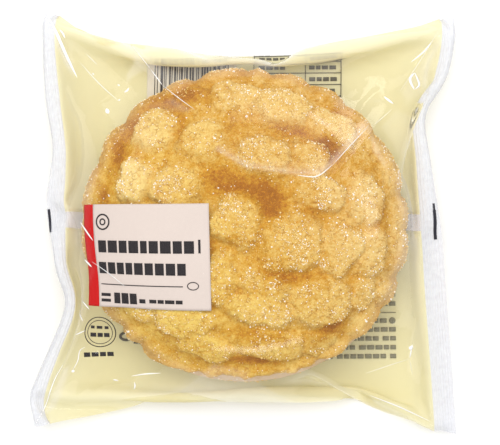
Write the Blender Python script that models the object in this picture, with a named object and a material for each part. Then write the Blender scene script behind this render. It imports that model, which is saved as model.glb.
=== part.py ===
"""A melon pan bun sealed in a clear flow-wrapped bag, as one closed solid.

The bag lies on its printed back with the domed bun inside it. Both ends are crimped
flat seals, the two long sides are folds of the film. The solid is the outer shape of
the bag: its front film runs over the bun and down to the edges, its back film is flat
where the bun stands on it. Metres, +Z up, origin under the middle of the bag.
"""

import bmesh
import bpy
import numpy as np

MM = 0.001

# The bun inside the bag
BUN_HALF_WIDTH = 63.5
BUN_HALF_DEPTH = 61.5
BUN_HEIGHT = 45.5
BUN_WIDEST_HEIGHT = 15.0
BUN_FOOT_SHARE = 0.76
DOME_FULLNESS = 2.5

# The bag's film and crimped seals
SEAL_WIDTH = 8.5
SEAL_THICKNESS = 0.8
SIDE_HEIGHT = 13.0
CORNER_HEIGHT = 9.0
BACK_RISE_POWER = 1.3

# The bag's outline, counterclockwise sides given left to right and bottom to top
LEFT_SEAL = [(-81.6, -78.6), (-81.9, -66.0), (-72.8, -46.0), (-68.2, -30.0), (-72.2, -17.5),
             (-76.4, 5.0), (-75.2, 19.5), (-73.9, 31.0), (-76.8, 50.0), (-77.6, 82.0)]
RIGHT_SEAL = [(82.1, -81.7), (80.2, -56.0), (77.6, -24.0), (76.0, -4.0), (71.8, 24.0),
              (69.0, 41.5), (75.8, 52.5), (79.4, 65.0), (81.6, 79.6)]
BOTTOM_FOLD = [(-81.6, -78.6), (-56.0, -74.2), (-43.0, -71.4), (-32.5, -67.2), (-21.0, -68.6),
               (15.0, -69.5), (36.0, -68.8), (46.0, -65.4), (52.0, -70.6), (66.0, -76.5), (82.1, -81.7)]
TOP_FOLD = [(-77.6, 82.0), (-60.0, 73.0), (-54.8, 68.6), (-43.0, 69.8), (-16.0, 65.8),
            (9.0, 62.2), (26.0, 68.6), (50.0, 73.0), (81.6, 79.6)]

# Mesh density
CELLS_ACROSS = 46
CELLS_UP = 44
OUTLINE_SAMPLES = 400
TANGENT_SAMPLES = 80
BUN_CENTRE = np.array((0.0, -1.0))


def smooth_curve(points, shares):
    """Points at the given shares (0 to 1) of a Catmull-Rom curve through a side's points."""
    points = np.array(points)
    ends = (2 * points[0] - points[1], 2 * points[-1] - points[-2])
    padded = np.vstack((ends[0], points, ends[1]))
    lengths = np.linalg.norm(np.diff(points, axis=0), axis=1)
    knots = np.concatenate(((0.0,), np.cumsum(lengths))) / lengths.sum()
    shares = np.atleast_1d(shares)
    span = np.clip(np.searchsorted(knots, shares, side="right") - 1, 0, len(points) - 2)
    along = ((shares - knots[span]) / (knots[span + 1] - knots[span]))[:, None]
    before, start, end, after = (padded[span + offset] for offset in range(4))
    return 0.5 * (2 * start + (end - before) * along
                  + (2 * before - 5 * start + 4 * end - after) * along ** 2
                  + (3 * start - before - 3 * end + after) * along ** 3)


def bag_plan(across, up):
    """Plan position of the bag's film at shares across (left to right) and up (bottom to top)."""
    left, right = smooth_curve(LEFT_SEAL, up), smooth_curve(RIGHT_SEAL, up)
    bottom, top = smooth_curve(BOTTOM_FOLD, across), smooth_curve(TOP_FOLD, across)
    across, up = across[:, None], up[:, None]
    corners = ((1 - across) * (1 - up) * np.array(LEFT_SEAL[0])
               + across * (1 - up) * np.array(RIGHT_SEAL[0])
               + (1 - across) * up * np.array(LEFT_SEAL[-1])
               + across * up * np.array(RIGHT_SEAL[-1]))
    return (1 - across) * left + across * right + (1 - up) * bottom + up * top - corners


def edge_height(across, up):
    """Height of the bag's edge: the corners droop below the middles of the sides."""
    nearness = 1 - np.minimum(np.sin(np.pi * across) + np.sin(np.pi * up), 1.0)
    return SIDE_HEIGHT + (CORNER_HEIGHT - SIDE_HEIGHT) * nearness


def seal_share():
    """Share of the bag's width that one crimped seal takes."""
    return SEAL_WIDTH / (RIGHT_SEAL[0][0] - LEFT_SEAL[0][0])


def polar(plan):
    """Angle and distance of plan positions about the bun's centre."""
    offset = plan - BUN_CENTRE
    return np.arctan2(offset[:, 1], offset[:, 0]), np.linalg.norm(offset, axis=1)


def pouch_edge():
    """The rim of the pouch between the seals: its angles, distances and heights."""
    seal = seal_share()
    run = np.linspace(0.0, 1.0, OUTLINE_SAMPLES)
    inner = seal + run * (1 - 2 * seal)
    across = np.concatenate((inner, np.full_like(run, 1 - seal), inner[::-1], np.full_like(run, seal)))
    up = np.concatenate((np.zeros_like(run), run, np.ones_like(run), run[::-1]))
    angle, distance = polar(bag_plan(across, up))
    order = np.argsort(angle)
    return angle[order], distance[order], edge_height(across, up)[order]


def dome_height(share):
    """Height of the bun's dome at a share of its radius."""
    rise = (1 - np.minimum(share, 1.0) ** DOME_FULLNESS) ** (1 / DOME_FULLNESS)
    return BUN_WIDEST_HEIGHT + (BUN_HEIGHT - BUN_WIDEST_HEIGHT) * rise


def film_heights(plan):
    """Heights of the front and back film over plan positions inside the pouch."""
    angle, distance = polar(plan)
    rim_angle, rim_distance, rim_height = pouch_edge()
    reach = np.interp(angle, rim_angle, rim_distance, period=2 * np.pi)
    edge = np.interp(angle, rim_angle, rim_height, period=2 * np.pi)
    bun_radius = 1 / np.hypot(np.cos(angle) / BUN_HALF_WIDTH, np.sin(angle) / BUN_HALF_DEPTH)

    share = np.minimum(distance, reach) / bun_radius
    reach_share = np.maximum(reach / bun_radius, 1.01)
    dome_share = np.linspace(0.0, 1.0, TANGENT_SAMPLES)
    slopes = ((dome_height(dome_share)[None, :] - edge[:, None])
              / (reach_share[:, None] - dome_share[None, :]))
    tangent = np.argmax(slopes, axis=1)
    slope = slopes[np.arange(len(slopes)), tangent]
    film = edge + slope * (reach_share - share)
    front = np.where(share < dome_share[tangent], dome_height(share), film)

    foot = BUN_FOOT_SHARE
    rise = np.clip((share - foot) / (reach_share - foot), 0.0, 1.0)
    back = (edge - SEAL_THICKNESS) * rise ** BACK_RISE_POWER
    return front, back


def grid_shares(vertices):
    """Shares across and up of a unit grid's vertices, with the end columns kept for the seals."""
    places = np.array([vertex.co.xy for vertex in vertices])
    column = np.rint((places[:, 0] + 1) * 0.5 * CELLS_ACROSS)
    up = (places[:, 1] + 1) * 0.5
    inner = seal_share() + (column - 1) / (CELLS_ACROSS - 2) * (1 - 2 * seal_share())
    across = np.where(column < 1, 0.0, np.where(column > CELLS_ACROSS - 1, 1.0, inner))
    return across, up, (column >= 1) & (column <= CELLS_ACROSS - 1)


def sealed_bag():
    """Closed mesh of the bag: a grid of front film, the same grid as back film, and their rim."""
    mesh = bmesh.new()
    bmesh.ops.create_grid(mesh, x_segments=CELLS_ACROSS, y_segments=CELLS_UP, size=1.0)
    back_film = list(mesh.verts)
    raised = bmesh.ops.extrude_face_region(mesh, geom=mesh.faces[:])
    front_film = [item for item in raised["geom"] if isinstance(item, bmesh.types.BMVert)]

    for film, is_front in ((back_film, False), (front_film, True)):
        across, up, in_pouch = grid_shares(film)
        plan = bag_plan(across, up)
        front, back = film_heights(plan)
        rim = edge_height(across, up)
        flat = rim if is_front else rim - SEAL_THICKNESS
        height = np.where(in_pouch, front if is_front else back, flat)
        for vertex, place, level in zip(film, plan, height):
            vertex.co = (place[0] * MM, place[1] * MM, level * MM)
    bmesh.ops.recalc_face_normals(mesh, faces=mesh.faces[:])
    return mesh


def film_material():
    """Glossy pale-yellow film."""
    material = bpy.data.materials.new("film")
    material.use_nodes = True
    shader = material.node_tree.nodes["Principled BSDF"]
    shader.inputs["Base Color"].default_value = (0.83, 0.74, 0.42, 1.0)
    shader.inputs["Roughness"].default_value = 0.2
    return material


def centre_on_base(mesh):
    """Moves the bag so that its origin is the middle of its box's bottom face."""
    places = np.array([vertex.co for vertex in mesh.verts])
    low, high = places.min(axis=0), places.max(axis=0)
    shift = ((low[0] + high[0]) / 2, (low[1] + high[1]) / 2, low[2])
    for vertex in mesh.verts:
        vertex.co.x -= shift[0]
        vertex.co.y -= shift[1]
        vertex.co.z -= shift[2]


def build():
    for old in list(bpy.data.objects):
        bpy.data.objects.remove(old, do_unlink=True)
    collection = bpy.data.collections.new("melon_pan_bun")
    bpy.context.scene.collection.children.link(collection)

    shape = sealed_bag()
    centre_on_base(shape)
    data = bpy.data.meshes.new("bun_bag")
    shape.to_mesh(data)
    shape.free()
    data.shade_smooth()
    data.materials.append(film_material())
    collection.objects.link(bpy.data.objects.new("bun_bag", data))


build()
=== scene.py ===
"""A sugared melon pan bun sealed in a clear flow-wrap bag, in a plain studio.

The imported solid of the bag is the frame. Here it gives way to the real things: clear
front film, a printed back film, crimped seals, the folded fin seam, flat prints on the
film, and the bun with its scored cookie crust and sugar. Lengths below are millimetres
unless a property or a call needs metres.
"""

import functools
import itertools
import math
import random

import bpy
import numpy as np
from bpy.props import FloatProperty, FloatVectorProperty, IntProperty, PointerProperty
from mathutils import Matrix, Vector


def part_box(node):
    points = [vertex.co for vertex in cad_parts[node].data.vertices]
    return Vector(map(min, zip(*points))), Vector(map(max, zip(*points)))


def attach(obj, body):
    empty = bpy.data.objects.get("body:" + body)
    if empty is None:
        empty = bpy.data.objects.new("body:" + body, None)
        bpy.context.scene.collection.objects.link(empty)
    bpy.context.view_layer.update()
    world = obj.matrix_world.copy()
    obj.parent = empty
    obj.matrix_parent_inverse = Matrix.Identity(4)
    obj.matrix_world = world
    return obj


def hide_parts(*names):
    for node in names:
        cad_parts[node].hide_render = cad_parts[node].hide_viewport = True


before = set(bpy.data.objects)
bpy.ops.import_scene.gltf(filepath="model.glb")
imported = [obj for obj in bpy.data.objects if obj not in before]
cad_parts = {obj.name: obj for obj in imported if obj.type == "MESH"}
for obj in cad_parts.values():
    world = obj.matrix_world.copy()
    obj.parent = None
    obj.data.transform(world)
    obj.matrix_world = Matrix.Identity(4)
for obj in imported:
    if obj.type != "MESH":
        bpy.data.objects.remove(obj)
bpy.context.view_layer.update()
BAG_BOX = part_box("bun_bag")

bl_info = {
    "name": "Bagged melon pan",
    "version": (1, 0, 0),
    "blender": (4, 5, 0),
    "location": "View3D > Sidebar > Melon pan",
    "description": "Builds a sugared melon pan bun in its sealed clear bag",
    "category": "Add Mesh",
}

MM = 0.001

# The bag's outline seen from above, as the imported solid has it
LEFT_SEAL = [
    (-81.6, -78.6), (-81.9, -66.0), (-72.8, -46.0), (-68.2, -30.0), (-72.2, -17.5), (-76.4, 5.0),
    (-75.2, 19.5), (-73.9, 31.0), (-76.8, 50.0), (-77.6, 82.0),
]
RIGHT_SEAL = [
    (82.1, -81.7), (80.2, -56.0), (77.6, -24.0), (76.0, -4.0), (71.8, 24.0), (69.0, 41.5), (75.8, 52.5),
    (79.4, 65.0), (81.6, 79.6),
]
BOTTOM_FOLD = [
    (-81.6, -78.6), (-56.0, -74.2), (-43.0, -71.4), (-32.5, -67.2), (-21.0, -68.6), (15.0, -69.5),
    (36.0, -68.8), (46.0, -65.4), (52.0, -70.6), (66.0, -76.5), (82.1, -81.7),
]
TOP_FOLD = [
    (-77.6, 82.0), (-60.0, 73.0), (-54.8, 68.6), (-43.0, 69.8), (-16.0, 65.8), (9.0, 62.2), (26.0, 68.6),
    (50.0, 73.0), (81.6, 79.6),
]

# How much of each seal's width shows from above, bottom to top: where it is less, the seal stands steep
LEFT_SEAL_SHOWN = [0.45, 0.55, 0.35, 0.45, 0.5, 0.9, 0.85, 0.62, 0.7, 0.55, 0.5]
RIGHT_SEAL_SHOWN = [1.0, 1.0, 1.0, 1.0, 1.0, 0.95, 0.8, 0.6, 0.5, 0.5, 0.5]
SIDE_HEIGHT = 13.0
CORNER_HEIGHT = 9.0

# Creases in the front film, seen from above: ridge line, height and half width
CREASES = [
    ([(50.1, 37.9), (42.0, 26.5), (34.7, 18.6), (30.0, 17.2), (25.0, 17.6), (6.0, 22.0), (-12.5, 28.6)],
     1.3, 4.5),
    ([(-12.5, 28.6), (-8.0, 36.0), (-5.0, 42.0)], 0.5, 3.5),
    ([(-50.1, 68.7), (-40.0, 59.5), (-30.8, 51.4), (-17.3, 43.7)], 1.0, 2.6),
    ([(-71.2, 74.5), (-68.5, 66.0), (-64.3, 55.2)], 0.9, 2.0),
    ([(75.5, 75.7), (67.5, 64.0), (58.9, 50.6)], 1.3, 3.0),
    ([(66.5, 58.0), (65.0, 50.0), (63.0, 42.0)], 0.6, 1.6),
    ([(-15.4, -52.5), (-22.0, -59.0), (-30.8, -66.5)], 1.1, 3.0),
    ([(0.0, -56.3), (8.0, -62.0), (17.3, -67.9)], 1.1, 3.0),
    ([(57.8, -53.3), (46.0, -55.5), (34.7, -58.3)], 0.8, 2.4),
    ([(-43.5, -56.6), (-38.0, -57.4), (-32.0, -56.9)], 0.7, 1.2),
    ([(-62.5, 36.0), (-58.0, 44.0), (-49.0, 50.0)], 0.8, 2.4),
    ([(-66.0, -40.0), (-60.0, -48.0), (-52.0, -52.0)], 0.7, 2.2),
    ([(68.0, -34.0), (64.0, -44.0), (62.0, -56.0)], 0.9, 2.8), ([(71.0, 18.0), (66.5, 17.0)], 0.5, 0.9),
    ([(71.5, 13.5), (66.5, 12.0)], 0.5, 0.9), ([(72.0, 9.0), (67.0, 8.2)], 0.5, 0.9),
    ([(72.5, 4.5), (67.5, 3.2)], 0.5, 0.9), ([(-70.0, 26.0), (-65.0, 25.0)], 0.5, 0.9),
    ([(-70.5, 20.0), (-65.0, 19.5)], 0.5, 0.9), ([(-66.0, -22.0), (-62.0, -30.0)], 0.6, 1.4),
    ([(64.0, 40.0), (59.0, 34.0)], 0.6, 1.6),
]

FOLD_COUNT = 46

# Painted reflection veils on the front film, seen from above: outline, bright edge, strength inside and at
# the edge
PAINTED_VEIL_PATCHES = [
    ([(-11.9, 27.3), (0.0, 20.3), (19.7, 17.3), (27.9, 17.3), (33.8, 21.7), (46.9, 36.9), (39.8, 41.6),
     (27.0, 43.0), (6.3, 41.5), (-6.3, 39.2)], [(-11.9, 27.3), (0.0, 20.3), (19.7, 17.3), (27.9, 17.3),
     (33.8, 21.7), (46.9, 36.9)], 0.01, 0.36),
    ([(-27.3, 48.0), (-18.3, 42.4), (-21.6, 40.5), (-39.2, 42.8), (-36.2, 45.4)], [(-27.3, 48.0),
     (-18.3, 42.4)], 0.05, 0.16),
    ([(-44.4, 69.7), (-38.5, 62.6), (-35.6, 58.4), (-42.0, 54.6), (-45.2, 50.5), (-45.6, 56.4),
     (-42.7, 61.4)], [(-45.6, 56.4), (-42.7, 61.4)], 0.14, 0.22),
    ([(-44.4, 70.5), (-40.0, 64.5), (-30.8, 66.8), (-17.3, 66.0), (-16.0, 70.0)], [(-44.4, 70.5),
     (-40.0, 64.5)], 0.16, 0.26),
    ([(-12.0, -52.1), (-25.8, -64.5), (-23.9, -70.0), (21.2, -71.0), (14.2, -67.6), (6.5, -61.4),
     (1.5, -58.7), (2.7, -54.9), (-5.0, -52.9)], [(-12.0, -52.1), (-25.8, -64.5)], 0.09, 0.2),
    ([(1.5, -57.0), (14.2, -65.4), (24.0, -69.0), (14.0, -69.0), (5.0, -64.0)], [(1.5, -57.0),
     (14.2, -65.4)], 0.1, 0.16),
    ([(46.3, 35.7), (48.2, 34.5), (53.4, 24.4), (54.9, 19.2), (51.9, 20.8), (47.8, 26.7)], [(46.3, 35.7),
     (47.8, 26.7)], 0.16, 0.26),
    ([(76.2, 76.4), (58.9, 49.9), (61.6, 44.5), (70.5, 50.6), (73.2, 62.9), (78.2, 78.3)], [(76.2, 76.4),
     (58.9, 49.9)], 0.08, 0.16),
    ([(45.4, 46.4), (48.1, 47.9), (52.4, 47.2), (52.7, 44.9)], [(52.4, 47.2), (52.7, 44.9)], 0.16, 0.24),
    ([(50.8, 36.5), (57.0, 44.0), (66.0, 41.0), (68.0, 30.0), (58.0, 24.0)], [(50.8, 36.5), (57.0, 44.0)],
     0.07, 0.12),
    ([(-75.5, 77.0), (-70.5, 70.0), (-65.0, 62.0), (-64.6, 54.5), (-69.4, 60.0), (-73.4, 69.0)],
     [(-75.5, 77.0), (-73.4, 69.0), (-69.4, 60.0), (-64.6, 54.5)], 0.26, 0.42),
    ([(-79.0, -76.0), (-75.0, -66.0), (-69.8, -55.0), (-65.4, -52.5), (-67.6, -61.0), (-72.6, -72.0)],
     [(-79.0, -76.0), (-75.0, -66.0), (-69.8, -55.0)], 0.2, 0.36),
    ([(78.0, 72.0), (72.0, 61.5), (70.0, 50.0), (66.6, 52.0), (68.6, 62.5), (75.0, 72.5)], [(78.0, 72.0),
     (72.0, 61.5), (70.0, 50.0)], 0.16, 0.3),
]
VEIL_EDGE_REACH = 2.0
VEIL_SOFT_EDGE = 2.0

# Painted highlights along sharp creases of the front film, seen from above: line, half width and whiteness
CREASE_GLINTS = [
    ([(-76.6, 81.4), (-72.4, 73.2), (-68.4, 64.4), (-64.0, 55.9)], 0.62, 1.0),
    ([(-71.3, 74.7), (-70.1, 73.4), (-69.0, 71.3)], 0.34, 1.0),
    ([(-52.2, 43.6), (-51.8, 42.4), (-51.2, 41.6)], 0.8, 1.0), ([(-47.7, 46.6), (-46.9, 46.8)], 0.34, 0.9),
    ([(-45.6, 49.6), (-44.4, 50.2), (-43.6, 51.4)], 0.4, 0.8), ([(-48.2, 52.6), (-47.2, 52.2)], 0.3, 0.8),
    ([(-44.4, 69.7), (-38.5, 62.2), (-35.6, 58.4)], 0.16, 0.55),
    ([(-35.6, 58.4), (-33.0, 55.0), (-31.0, 52.2)], 0.2, 0.9),
    ([(-31.0, 52.2), (-24.0, 46.6), (-18.6, 42.6)], 0.16, 0.5),
    ([(-63.1, 61.8), (-55.0, 53.0), (-47.2, 45.9)], 0.16, 0.5), ([(-60.6, 65.0), (-56.0, 60.4)], 0.14, 0.4),
    ([(-58.0, 57.4), (-57.3, 56.6)], 0.3, 0.8), ([(72.5, 70.4), (68.4, 65.6), (63.5, 61.6)], 0.26, 1.0),
    ([(76.2, 76.4), (67.0, 62.0), (58.9, 49.9)], 0.1, 0.5),
    ([(65.0, 57.6), (66.8, 53.2), (65.0, 51.2)], 0.4, 0.9),
    ([(65.0, 57.6), (63.1, 55.0), (64.8, 51.0)], 0.55, 0.9),
    ([(52.8, 48.2), (54.6, 46.8), (56.5, 45.4)], 0.42, 0.95), ([(48.6, 36.9), (56.0, 43.4)], 0.1, 0.45),
    ([(64.4, -46.6), (63.8, -48.0), (63.0, -47.2)], 0.75, 1.0), ([(64.2, -47.6), (63.4, -51.6)], 0.24, 0.9),
    ([(48.0, -65.8), (60.0, -70.8), (72.0, -76.8)], 0.22, 0.8),
    ([(63.0, -52.0), (54.0, -54.4), (46.0, -57.0)], 0.12, 0.4), ([(63.4, -52.4), (64.6, -58.0)], 0.1, 0.35),
    ([(-69.5, -54.1), (-73.0, -60.0), (-77.0, -70.0), (-81.0, -78.0)], 0.2, 1.0),
    ([(-65.7, -56.0), (-63.6, -52.4), (-62.6, -48.4), (-60.4, -46.8)], 0.18, 0.9),
    ([(-66.2, -56.6), (-64.9, -56.2)], 0.5, 1.0),
    ([(-43.2, -58.2), (-37.6, -57.2), (-31.8, -56.8)], 0.24, 1.0),
    ([(-42.5, -63.7), (-42.0, -62.2), (-42.2, -60.6)], 0.3, 1.0),
    ([(-50.4, -59.7), (-48.2, -60.1)], 0.26, 0.85), ([(-64.5, -42.5), (-60.4, -40.6)], 0.22, 0.8),
    ([(-63.5, -33.3), (-61.2, -37.2)], 0.24, 0.7), ([(-62.2, 0.6), (-59.6, -3.0), (-57.0, -6.4)], 0.3, 0.9),
    ([(-57.4, -14.4), (-51.0, -18.6), (-44.6, -23.6)], 0.16, 0.6),
    ([(-60.6, -13.6), (-57.6, -16.4)], 0.36, 0.9), ([(-61.6, -29.4), (-58.6, -32.6)], 0.24, 0.9),
    ([(19.6, 17.9), (26.9, 17.6), (33.0, 22.0)], 0.26, 0.6),
    ([(33.0, 22.0), (40.0, 29.6), (46.9, 36.9)], 0.18, 0.6),
]

# The bun's middle, and how full its dome and its foot are
BUN_CENTRE = (0.0, -1.0)
DOME_FULLNESS = 2.5
FOOT_FULLNESS = 4.0
FILM_GAP = 0.7
BUN_LEVEL = FILM_GAP + 0.2

# The cookie crust's raised blocks seen from above: middle, half width and half depth, and height share
BLOCKS = [
    (-33.5, 38.6, 8.6, 7.6, 0.8), (-15.2, 33.5, 8.2, 8.0, 0.75), (-2.5, 50.0, 9.6, 7.0, 0.75),
    (14.8, 46.4, 9.8, 7.0, 0.9), (33.8, 38.6, 8.4, 7.4, 0.85), (-41.8, 17.6, 7.6, 8.0, 0.85),
    (-25.6, 14.4, 8.0, 7.4, 0.8), (6.8, 26.6, 9.0, 7.6, 0.95), (24.6, 26.0, 6.6, 6.2, 0.8),
    (29.2, 13.4, 9.2, 6.2, 0.85), (46.2, 10.6, 7.2, 9.4, 0.8), (-2.4, 2.2, 9.0, 8.6, 0.95),
    (17.4, -6.4, 10.0, 11.0, 1.0), (35.4, -9.2, 8.2, 9.6, 0.9), (49.6, -10.6, 6.4, 8.6, 0.75),
    (7.2, -21.8, 10.4, 6.2, 0.8), (-9.6, -20.0, 6.6, 9.4, 0.8), (5.0, -32.4, 12.6, 6.0, 0.9),
    (28.6, -29.6, 10.4, 10.2, 1.0), (-22.6, -36.6, 11.0, 6.6, 0.85), (-40.2, -31.0, 6.8, 6.4, 0.7),
    (-14.6, -47.0, 10.4, 5.6, 0.7), (9.6, -46.0, 12.6, 5.8, 0.65), (29.6, -46.8, 7.0, 4.6, 0.4),
    (45.4, -28.0, 6.0, 7.6, 0.6), (-38.6, -2.2, 9.0, 8.4, 0.8), (-20.2, -3.8, 7.2, 8.4, 0.8),
    (-41.6, -16.6, 7.6, 6.6, 0.75), (-25.2, -20.0, 8.0, 7.6, 0.8), (-20.6, 50.8, 6.8, 5.2, 0.5),
]
BLOCK_TURN = math.radians(-17)
BLOCK_TURN_SPREAD = 0.35
BLOCK_SQUARENESS = 2.7
BLOCK_SPREAD = 1.08
CROWN_DROP = 0.22
CROWN_TILT = 0.10

# A block's slope, as shares of its half size: where it ends, and how wide it is
SLOPE_END = 1.27
SLOPE_WIDTH = 0.52

# How the edges of blocks wander: noise cell, its first seed and its reach
WANDER = ((9.0, 40, 1.6), (3.2, 50, 0.9), (1.5, 54, 0.55))

# The soft lobes of the rim
RIM_LOBES = 23
LOBE_JITTER = 0.55
RIM_RISE = (58.5, 66.5)
RIM_HEIGHT = 0.24
LOBE_HEIGHT = 0.54
SHALLOW_NOTCH = (0.75, 0.45)

# Darker patches of crust, seen from above: browned spots and darker rim grooves, and at (3.0, -52.6) painted
# shade under the crust's lower edge; middle, half width, half depth, turn in degrees, strength
BROWNED_AND_SHADED = [
    (32.0, 30.4, 4.6, 5.6, 40, 1.3), (18.0, 37.6, 12.0, 3.4, -12, 0.5), (8.6, 12.0, 7.4, 4.6, -35, 0.62),
    (-7.0, 17.4, 8.0, 4.6, -25, 0.5), (10.6, 4.6, 3.4, 4.0, -40, 0.55), (-13.4, -7.4, 2.6, 4.0, 0, 0.6),
    (13.0, -19.0, 8.0, 2.4, -12, 0.6), (34.4, -38.6, 10.0, 3.2, 42, 0.65),
    (-24.4, 35.0, 3.0, 8.0, 10, 0.45), (-42.6, 41.2, 12.0, 3.0, 45, 0.6), (-49.6, 28.6, 2.8, 9.0, -8, 0.5),
    (-21.5, 50.5, 9.0, 4.0, 10, 1.05), (36.0, 46.4, 9.0, 2.8, -38, 0.55), (25.6, 3.4, 4.0, 3.0, 0, 0.35),
    (53.0, 8.0, 2.6, 12.0, 5, 0.35), (-32.4, 13.4, 1.6, 3.2, 10, 0.7), (-55.6, 12.6, 2.6, 5.0, 0, 0.55),
    (3.0, -52.6, 10.0, 2.0, 0, 0.7), (7.5, -42.5, 11.0, 3.6, -3, 0.75), (-6.4, 40.0, 3.0, 7.0, -25, 0.25),
    (26.4, -19.6, 8.0, 2.6, -8, 0.3), (-13.0, -38.6, 3.4, 2.2, 0, 0.5),
]

# Where sugar has left the crust palest, seen from above: middle, reach and strength
FROSTED = [
    (-38.0, 36.0, 15.0, 0.55), (-45.0, 16.0, 14.0, 1.0), (46.0, 8.0, 18.0, 0.65), (-2.0, 52.0, 14.0, 0.25),
]


# ---------------------------------------------------------------- properties

def length_property(name, metres, description):
    """A property that is a length."""
    return FloatProperty(name=name, description=description, default=metres, unit="LENGTH")


def colour_property(name, value, description):
    """A property that is a colour."""
    return FloatVectorProperty(name=name, description=description, default=value, subtype="COLOR", size=3,
                               min=0, max=1)


class BagProperties(bpy.types.PropertyGroup):
    film_length: length_property("Film length", 0.1695, "Length of film between the seals' outer edges")
    film_height: length_property("Film height", 0.165, "Height of the flat bag between its two folds")
    seal_width: length_property("Seal width", 0.0085, "Width of a crimped end seal")
    crimp_pitch: length_property("Crimp pitch", 0.0011, "Distance between two ridges of a seal")
    back_colour: colour_property("Back print", (0.875, 0.815, 0.54), "Pale yellow of the printed back film")
    band_colour: colour_property("Seam band", (0.93, 0.91, 0.92), "Unprinted film over the fin seam")
    label_colour: colour_property("Label", (0.655, 0.56, 0.505), "Field of the front label")
    strip_colour: colour_property("Label strip", (0.54, 0.008, 0.008), "Red strip at the label's left side")


class BunProperties(bpy.types.PropertyGroup):
    width: length_property("Width", 0.1285, "Width of the bun")
    depth: length_property("Depth", 0.1245, "Depth of the bun")
    height: length_property("Height", 0.0440, "Height of the bun")
    widest: length_property("Widest height", 0.0150, "Height at which the bun is widest")
    valley_depth: length_property("Valley depth", 0.0038, "Depth of the scored valleys between crust blocks")
    pale_colour: colour_property("Pale crust", (0.78, 0.555, 0.18), "Sugared tops of the crust blocks")
    golden_colour: colour_property("Golden crust", (0.57, 0.285, 0.020), "Crust between the blocks")
    brown_colour: colour_property("Browned crust", (0.40, 0.145, 0.006), "Most baked crust")
    sugar_size: length_property("Sugar size", 0.00031, "Typical size of a sugar crystal")
    sugar_grains: IntProperty(
        name="Sugar grains", description="How many sugar crystals lie on the crust", default=16000)


class StudioProperties(bpy.types.PropertyGroup):
    lens: FloatProperty(
        name="Lens", description="Focal length of the camera in millimetres", default=150.0)
    frame_width: length_property("Framed width", 0.1925, "Width that the camera sees at the widest height")
    key_power: FloatProperty(
        name="Key light", description="Power of the large overhead light", default=15.0, unit="POWER")
    sky_strength: FloatProperty(
        name="Sky", description="Strength of the even light from all around", default=0.63)
    mirrored_sky: FloatProperty(
        name="Mirrored sky", description="Strength of that light in reflections", default=0.30)


# ---------------------------------------------------------------- curves and grids

CURVE_POINTS = 2000


def smooth_side(points, shares):
    """Points at the given shares (0 to 1) of a Catmull-Rom curve through a side's points."""
    points = np.array(points, dtype=float)
    padded = np.vstack((2 * points[0] - points[1], points, 2 * points[-1] - points[-2]))
    lengths = np.linalg.norm(np.diff(points, axis=0), axis=1)
    knots = np.concatenate(((0.0,), np.cumsum(lengths))) / lengths.sum()
    span = np.clip(np.searchsorted(knots, shares, side="right") - 1, 0, len(points) - 2)
    along = ((shares - knots[span]) / (knots[span + 1] - knots[span]))[:, None]
    return cubic(*(padded[span + offset] for offset in range(4)), along)


def unit(vectors, tiny=0.0):
    """Vectors scaled to length 1; tiny keeps those without length from dividing by zero."""
    return vectors / (np.linalg.norm(vectors, axis=-1, keepdims=True) + tiny)


def cubic(before, start, end, after, along):
    """Catmull-Rom blend of four neighbours at a share along the middle span."""
    return 0.5 * (2 * start + (end - before) * along
                  + (2 * before - 5 * start + 4 * end - after) * along ** 2
                  + (3 * start - before - 3 * end + after) * along ** 3)


def even_steps(points, count):
    """A side's curve as points at equal distances along it."""
    fine = smooth_side(points, np.linspace(0, 1, CURVE_POINTS))
    run = np.concatenate(((0,), np.cumsum(np.linalg.norm(np.diff(fine, axis=0), axis=1))))
    steps = np.linspace(0, run[-1], count)
    return np.stack([np.interp(steps, run, fine[:, axis]) for axis in range(2)], axis=1)


def sample_grid(grid, row, column):
    """Smoothly interpolated values of a grid at fractional rows and columns."""
    rows, columns = grid.shape[:2]
    row, column = np.broadcast_arrays(row, column)
    row0 = np.clip(np.floor(row).astype(int), 0, rows - 2)
    column0 = np.clip(np.floor(column).astype(int), 0, columns - 2)
    down, right = (row - row0)[..., None], (column - column0)[..., None]
    lines = []
    for offset in (-1, 0, 1, 2):
        near_row = np.clip(row0 + offset, 0, rows - 1)
        taps = (grid[near_row, np.clip(column0 + step, 0, columns - 1)] for step in (-1, 0, 1, 2))
        lines.append(cubic(*taps, right))
    return cubic(*lines, down)


# ---------------------------------------------------------------- noise

def hash_unit(cells, seed):
    """Repeatable numbers from 0 to 1 for whole-number cells."""
    mixed = np.full(cells.shape[:-1], seed * 2654435761 % 2 ** 32, dtype=np.uint32)
    for axis, prime in zip(range(cells.shape[-1]), (374761393, 668265263, 2246822519)):
        mixed = (mixed ^ cells[..., axis].astype(np.uint32)) * np.uint32(prime)
        mixed ^= mixed >> np.uint32(15)
    mixed = mixed * np.uint32(1274126177)
    mixed ^= mixed >> np.uint32(16)
    return (mixed & np.uint32(0xFFFF)).astype(float) / 0xFFFF


def lattice_noise(points, cell, seed):
    """Smooth noise from -1 to 1 with features about one cell across."""
    scaled = points / cell
    base = np.floor(scaled).astype(np.int64)
    part = scaled - base
    part = part * part * (3 - 2 * part)
    total = np.zeros(points.shape[:-1])
    for corner in itertools.product((0, 1), repeat=points.shape[-1]):
        weight = np.prod(np.where(corner, part, 1 - part), axis=-1)
        total += weight * hash_unit(base + corner, seed)
    return 2 * total - 1


def cell_borders(points, cell, seed):
    """Distance from plan points to the border between irregular cells, 0 on the border."""
    scaled = points / cell
    base = np.floor(scaled).astype(np.int64)
    nearest = np.full(points.shape[:-1], 9.0)
    second = nearest.copy()
    for step in itertools.product((-1, 0, 1), repeat=2):
        home = base + step
        seedling = home + np.stack((hash_unit(home, seed), hash_unit(home, seed + 1)), axis=-1)
        distance = np.linalg.norm(scaled - seedling, axis=-1)
        second = np.minimum(second, np.maximum(distance, nearest))
        nearest = np.minimum(nearest, distance)
    return (second - nearest) * cell


# ---------------------------------------------------------------- the bag's film

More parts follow.
